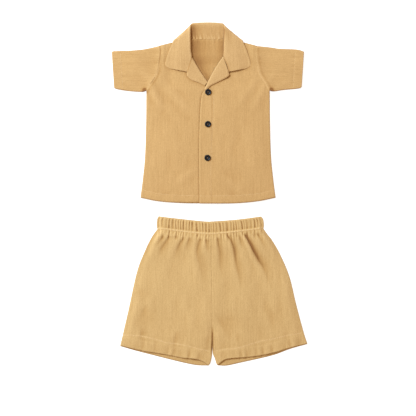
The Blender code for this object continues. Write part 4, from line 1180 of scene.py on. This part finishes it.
def make_shorts_front(name, hem, side, inner, foot_span, stitch, seed, surface):
    """A front panel, softly filled, with the gathers and folds that fall from the band."""
    x, y, width, across, up, inner = shorts_plan(hem, side, inner, foot_span, True)
    on_left = side is LEFT_SIDE
    share_from_side = across if on_left else 1 - across
    from_side, from_inner = share_from_side * width, (1 - share_from_side) * width
    from_hem, along_hem = near_line(hem, x, y)
    from_foot, along_foot = near_line(BAND_FOOT, x, y)
    _, along_inner = near_line(inner, x, y)
    below_crotch = 1 - ease(y, *CROTCH_Y)
    inside = ease(share_from_side, 0.0, SHORTS_EDGE_SHARE * (1 + 0.3 * on_left * ease(y, 180.0, 260.0)))
    inside = inside * (1 - below_crotch * (1 - ease(1 - share_from_side, 0.0, SHORTS_EDGE_SHARE)))
    folds = fold_shape(x, y)
    ribs = gather(along_foot / length_of(BAND_FOOT), 0.0)
    # The filling, the folds and the gathers.
    puff = SHORTS_PUFF * (0.1 + 0.9 * ease(from_hem, 0.0, 45.0)) + SHORTS_BAND_PUFF * ease(y, *NEAR_BAND_Y)
    opening = LEG_OPENING_RISE * np.sin(np.pi * across) * (1 - ease(up, 0.0, LEG_OPENING_SHARE))
    gathers = GATHER_RISE * (ribs - 0.7) * bell(from_foot, GATHER_LENGTH, 1.5)
    gathers = gathers * (0.3 + 0.7 * ease(from_foot, 0, 5))
    level = inside * (puff - GROOVE_SCALE * folds + gathers) + opening
    level = level + 1.05 * inside * lumps(x, y, 36.0, 70.0, SEED["leg_broad"]) * (1 - ease(y, 240, 280))
    level = level + 0.45 * inside * lumps(x, y, 15.0, 34.0, SEED["leg_fine"])
    # The edges come down to where they are sewn to the back, to each other and to the band.
    level = level - (SECOND - SEWN) * (1 - ease(from_side, 0.0, 3.0))
    level = level - (SECOND - SEWN) * (1 - ease(from_inner, 0.0, 2.6)) * below_crotch
    level = level - (1 - below_crotch) * 0.16 * bell(from_inner, 1.3)
    level = level - TOP_TUCK * inside * (1 - ease(from_foot, 0.0, 10.0))
    puckers = lumps(along_inner, from_inner, 7.0, 20.0, SEED["leg_centre"]) * bell(from_inner, 9, 1)
    level = level + 0.2 * puckers * inside
    # The turned hem, with its stitches and its ripples.
    level = level + 0.35 * (1 - ease(from_hem, 21.0, 24.0))
    ripples = lumps(along_hem, from_hem, 7.0, 40.0, seed + 9) * bell(from_hem, 24, 4)
    level = level + 0.7 * ripples * inside
    level = level + stitched(stitch, x, y, seed + 6, 0.15, 1.5, 0.25)
    z = SECOND + np.maximum(level, SEWN - SECOND) + crinkle(x, y, SEED["leg"])
    # Stitches are paler, and a painted highlight runs along the hem's edge. Painted shade darkens the folds,
    # the deep crease, the gathers under the band, the left side near the band, the centre seam and the
    # crotch.
    tint = stitch_tint(stitch, x, y, 0.9) - 0.3 * inside * np.clip(folds, 0, 3)
    tint = tint - 0.5 * on_left * bell(from_side, 7, 1) * ease(y, 200.0, 260.0)
    from_crease, along_crease = near_line(DEEP_FOLD, x, y)
    crease = ease(along_crease, 4.0, 14.0) * (1 - ease(along_crease, 36.0, 62.0))
    tint = tint - 0.8 * crease * bell(from_crease, 1.7)
    tint = tint - 0.5 * inside * (1 - ribs) * bell(from_foot, 12)
    tint = tint + 0.2 * bell(from_hem, 1.8) - 0.06 * bell(from_inner, 1.0)
    crotch = ease(y, 20.0, 45.0) * (1 - ease(y, 66.0, 92.0))
    tint = tint - 1.3 * crotch * bell(from_inner, 2.6)
    return cloth(name, x, y, z, SHORTS_AT, surface, tint=tint)


def mesh_from(form, name):
    """A smooth mesh made of this form, which is used up."""
    mesh = bpy.data.meshes.new(name)
    form.to_mesh(mesh)
    form.free()
    mesh.shade_smooth()
    return mesh


def hole_angle(row, index):
    return math.radians(row["turn"] + 45 + 90 * index)


def drill_holes(button, row):
    """Cuts the four holes through a button."""
    holes = bmesh.new()
    radius = BUTTON_HOLE_RADIUS * MM
    for index in range(4):
        angle = hole_angle(row, index)
        made = bmesh.ops.create_cone(
            holes, cap_ends=True, segments=20, radius1=radius, radius2=radius, depth=10 * MM
        )
        centre = Vector((math.cos(angle), math.sin(angle), 0)) * BUTTON_HOLE_SPREAD * MM
        bmesh.ops.translate(holes, verts=made["verts"], vec=centre)
    drill_mesh = bpy.data.meshes.new("drill")
    holes.to_mesh(drill_mesh)
    holes.free()
    drill = bpy.data.objects.new("drill", drill_mesh)
    bpy.context.scene.collection.objects.link(drill)
    drill.location = button.location
    cut = button.modifiers.new("Holes", "BOOLEAN")
    cut.object = drill
    bpy.context.view_layer.update()
    graph = bpy.context.evaluated_depsgraph_get()
    cut_mesh = bpy.data.meshes.new_from_object(button.evaluated_get(graph))
    button.modifiers.clear()
    button.data = cut_mesh
    bpy.data.objects.remove(drill)


def crossed_thread(row):
    """Two bars of thread, of three strands each, that cross over the middle and end in the holes."""
    sewing = bmesh.new()
    reach = BUTTON_HOLE_SPREAD * 1.05
    for first, rise in enumerate(BUTTON_BAR_RISES):
        angle = hole_angle(row, first)
        start = reach * np.array([math.cos(angle), math.sin(angle)])
        for strand in BUTTON_STRANDS:
            side = np.array([-start[1], start[0]]) / reach * strand
            top = BUTTON_DISH_Z + rise + 0.12 * (strand == 0)
            stops = np.linspace(-1, 1, 13)
            path = [(*(start * stop + side), top - BUTTON_BAR_DROP * abs(stop) ** 6) for stop in stops]
            add_tube(sewing, np.array(path), BUTTON_THREAD_RADIUS, 8)
    return mesh_from(sewing, "thread")


def make_button(row, surface, thread):
    """A turned disc with a raised rim and a dished middle, sewn through four holes."""
    form = bmesh.new()
    points = [form.verts.new((x * MM, 0, z * MM)) for x, z in BUTTON_PROFILE]
    for first, second in zip(points, points[1:]):
        form.edges.new((first, second))
    bmesh.ops.spin(
        form, geom=[*form.verts, *form.edges], cent=(0, 0, 0), axis=(0, 0, 1), angle=2 * math.pi,
        steps=64, use_merge=True,
    )
    bmesh.ops.remove_doubles(form, verts=form.verts, dist=0.01 * MM)
    bmesh.ops.recalc_face_normals(form, faces=form.faces)
    button = new_piece(f"sewn_{row['name']}", mesh_from(form, row["name"]), surface)
    button.location = ((row["x"] + SHIRT_AT[0]) * MM, (row["y"] + SHIRT_AT[1]) * MM, BUTTON_LEVEL * MM)
    drill_holes(button, row)
    bars = new_piece(f"{row['name']}_thread", crossed_thread(row), thread)
    bars.location = button.location
    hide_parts(row["name"])


def add_tube(form, path, radius, sides):
    """A round thread along a path, in millimetres, with closed ends."""
    rings = []
    for index, point in enumerate(path):
        ahead = path[min(index + 1, len(path) - 1)] - path[max(index - 1, 0)]
        ahead = Vector(ahead).normalized()
        across = ahead.cross(Vector((0, 0, 1)))
        across = across.normalized() if across.length > 0.01 else Vector((1, 0, 0))
        above = across.cross(ahead)
        ring = []
        for step in range(sides):
            angle = 2 * math.pi * step / sides
            offset = (across * math.cos(angle) + above * math.sin(angle)) * radius
            ring.append(form.verts.new((Vector(point) + offset) * MM))
        rings.append(ring)
    for first, second in zip(rings, rings[1:]):
        for step in range(sides):
            after = (step + 1) % sides
            form.faces.new((first[step], first[after], second[after], second[step]))
    form.faces.new(rings[0][::-1])
    form.faces.new(rings[-1])


def ground_of(*pieces):
    """The upper faces of these pieces, for laying stitches on."""
    bpy.context.view_layer.update()
    graph = bpy.context.evaluated_depsgraph_get()
    points, faces = [], []
    for piece in pieces:
        mesh = piece.evaluated_get(graph).to_mesh()
        start = len(points)
        points.extend(piece.matrix_world @ vertex.co for vertex in mesh.vertices)
        faces.extend([start + index for index in face.vertices] for face in mesh.polygons)
        piece.evaluated_get(graph).to_mesh_clear()
    return BVHTree.FromPolygons(points, faces)


def lay_stitches(name, ground, line, at, surface, radius):
    """A row of stitches on the cloth, each a short thread that dips into it at both ends."""
    total = length_of(line)
    form = bmesh.new()
    for index in range(int(total / (STITCH_LONG + STITCH_GAP))):
        first = index * (STITCH_LONG + STITCH_GAP) / total
        stops = smooth(line, np.linspace(first, first + STITCH_LONG / total, 5))
        path = []
        for step, (x, y) in enumerate(stops):
            origin = Vector(((x + at[0]) * MM, (y + at[1]) * MM, 0.1))
            hit = ground.ray_cast(origin, Vector((0, 0, -1)))[0]
            if hit is None:
                break
            rise = -STITCH_DIP if step in (0, 4) else STITCH_LIFT
            path.append((x + at[0], y + at[1], hit.z / MM + rise))
        if len(path) == 5:
            add_tube(form, np.array(path), radius, 6)
    return new_piece(name, mesh_from(form, name), surface)


shirt_cloth = gauze("Camel gauze of the shirt", SHIRT_COLOR, 1)
collar_cloth = gauze("Camel gauze of the collar", COLLAR_COLOR, 5)
shorts_cloth = gauze("Camel gauze of the shorts", SHORTS_COLOR, 9)
navy = plastic("Navy button plastic", NAVY, 0.42)
camel_thread = thread_material("Camel thread", THREAD_COLOR)
brown_thread = thread_material("Brown thread", BUTTON_THREAD_COLOR)

# The wearer's right is the viewer's left.
back = make_shirt_back(shirt_cloth)
under = make_front_under(shirt_cloth)
over = make_front_over(shirt_cloth)
lapel_under = make_lapel("lapel_under", -1, THIRD, mirrored(LAPEL_UNDER), SEED["lapel_under"], collar_cloth)
lapel_over = make_lapel("lapel_over", 1, FOURTH, LAPEL_OVER, SEED["lapel_over"], collar_cloth)
collar = make_collar(collar_cloth)
left_edges = (LEFT_SLEEVE_TOP, LEFT_SLEEVE_FOOT, LEFT_CUFF)
right_edges = (RIGHT_SLEEVE_TOP, RIGHT_SLEEVE_FOOT, RIGHT_CUFF)
sleeve_right = make_sleeve("short_sleeve_right", -1, *left_edges, SEED["sleeve_right"], shirt_cloth)
sleeve_left = make_sleeve("short_sleeve_left", 1, *right_edges, SEED["sleeve_left"], shirt_cloth)
for row in BUTTONS:
    make_button(row, navy, brown_thread)
band = make_waistband(shorts_cloth)
right_leg = (LEFT_SIDE, LEFT_INNER, (0.0, CENTRE_SHARE))
left_leg = (RIGHT_SIDE, RIGHT_INNER, (CENTRE_SHARE + CENTRE_GAP_SHARE, 1.0))
front_right = make_shorts_front(
    "leg_front_right", LEFT_FRONT_HEM, *right_leg, LEFT_LEG_STITCH, SEED["leg_right"], shorts_cloth
)
front_left = make_shorts_front(
    "leg_front_left", RIGHT_FRONT_HEM, *left_leg, RIGHT_LEG_STITCH, SEED["leg_left"], shorts_cloth
)
back_right = make_shorts_back("leg_back_right", LEFT_BACK_HEM, *right_leg, SEED["back_right"], shorts_cloth)
back_left = make_shorts_back("leg_back_left", RIGHT_BACK_HEM, *left_leg, SEED["back_left"], shorts_cloth)

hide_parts("shirt_back")
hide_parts("shirt_front_right")
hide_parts("shirt_front_left")
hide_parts("lapel_right")
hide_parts("lapel_left")
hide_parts("collar")
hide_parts("sleeve_right")
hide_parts("sleeve_left")
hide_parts("waistband")
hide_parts("shorts_front_right")
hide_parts("shorts_front_left")
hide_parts("shorts_back_right")
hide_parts("shorts_back_left")

shirt_ground = ground_of(under, over, sleeve_right, sleeve_left)
shorts_ground = ground_of(front_right, front_left, band)
left_cuff_stitch = [(x + CUFF_HEM_DEPTH, y) for x, y in LEFT_CUFF]
right_cuff_stitch = [(x - CUFF_HEM_DEPTH, y) for x, y in RIGHT_CUFF]
shirt_rows = [
    ("stitches_hem_under", HEM_STITCH_UNDER, under),
    ("stitches_hem_over", HEM_STITCH_OVER, over),
    ("stitches_placket", PLACKET_STITCH, over),
    ("stitches_cuff_right", left_cuff_stitch, sleeve_right),
    ("stitches_cuff_left", right_cuff_stitch, sleeve_left),
]
sewn_on = {}
for name, line, sheet in shirt_rows:
    row = lay_stitches(name, shirt_ground, line, SHIRT_AT, camel_thread, FINE_STITCH_RADIUS)
    sewn_on.setdefault(sheet, []).append(row)
band_stitch = [(x, y + BAND_STITCH_UP) for x, y in BAND_FOOT]
shorts_rows = [
    ("stitches_leg_right", LEFT_LEG_STITCH, front_right),
    ("stitches_leg_left", RIGHT_LEG_STITCH, front_left),
    ("stitches_band", band_stitch, band),
]
for name, line, sheet in shorts_rows:
    row = lay_stitches(name, shorts_ground, line, SHORTS_AT, camel_thread, STITCH_RADIUS)
    sewn_on.setdefault(sheet, []).append(row)

# A plain white floor under soft studio light from the upper left, seen from straight above.
half = FLOOR_HALF
floor_mesh = bpy.data.meshes.new("floor")
corners = [(-half, -half, 0), (half, -half, 0), (half, half, 0), (-half, half, 0)]
floor_mesh.from_pydata(corners, [], [(0, 1, 2, 3)])
floor = bpy.data.objects.new("floor", floor_mesh)
floor.location.z = -FLOOR_DROP
bpy.context.scene.collection.objects.link(floor)
paper, _, _ = new_material(
    "White paper", Base_Color=(FLOOR_GREY, FLOOR_GREY, FLOOR_GREY, 1), Roughness=0.9,
    Emission_Color=(*FLOOR_GLOW, 1), Emission_Strength=FLOOR_GLOW_STRENGTH,
)
floor_mesh.materials.append(paper)

world = bpy.data.worlds.new("Studio")
world.use_nodes = True
sky = world.node_tree.nodes["Background"]
sky.inputs["Color"].default_value = (*SKY_COLOR, 1)
sky.inputs["Strength"].default_value = SKY_STRENGTH
bpy.context.scene.world = world

key_data = bpy.data.lights.new("key", "AREA")
key_data.color = KEY_COLOR
key_data.shape = "DISK"
key_data.size = KEY_SIZE
key_data.energy = KEY_POWER
key = bpy.data.objects.new("key", key_data)
key.location = KEY_PLACE
key.rotation_mode = "QUATERNION"
key.rotation_quaternion = (-Vector(KEY_PLACE)).to_track_quat("-Z", "Y")
bpy.context.scene.collection.objects.link(key)

camera_data = bpy.data.cameras.new("camera")
camera_data.sensor_width = 36
camera_data.lens = CAMERA_LENS
camera = bpy.data.objects.new("camera", camera_data)
camera.location = CAMERA_PLACE
bpy.context.scene.collection.objects.link(camera)
bpy.context.scene.camera = camera
bpy.context.scene.view_settings.view_transform = "Standard"
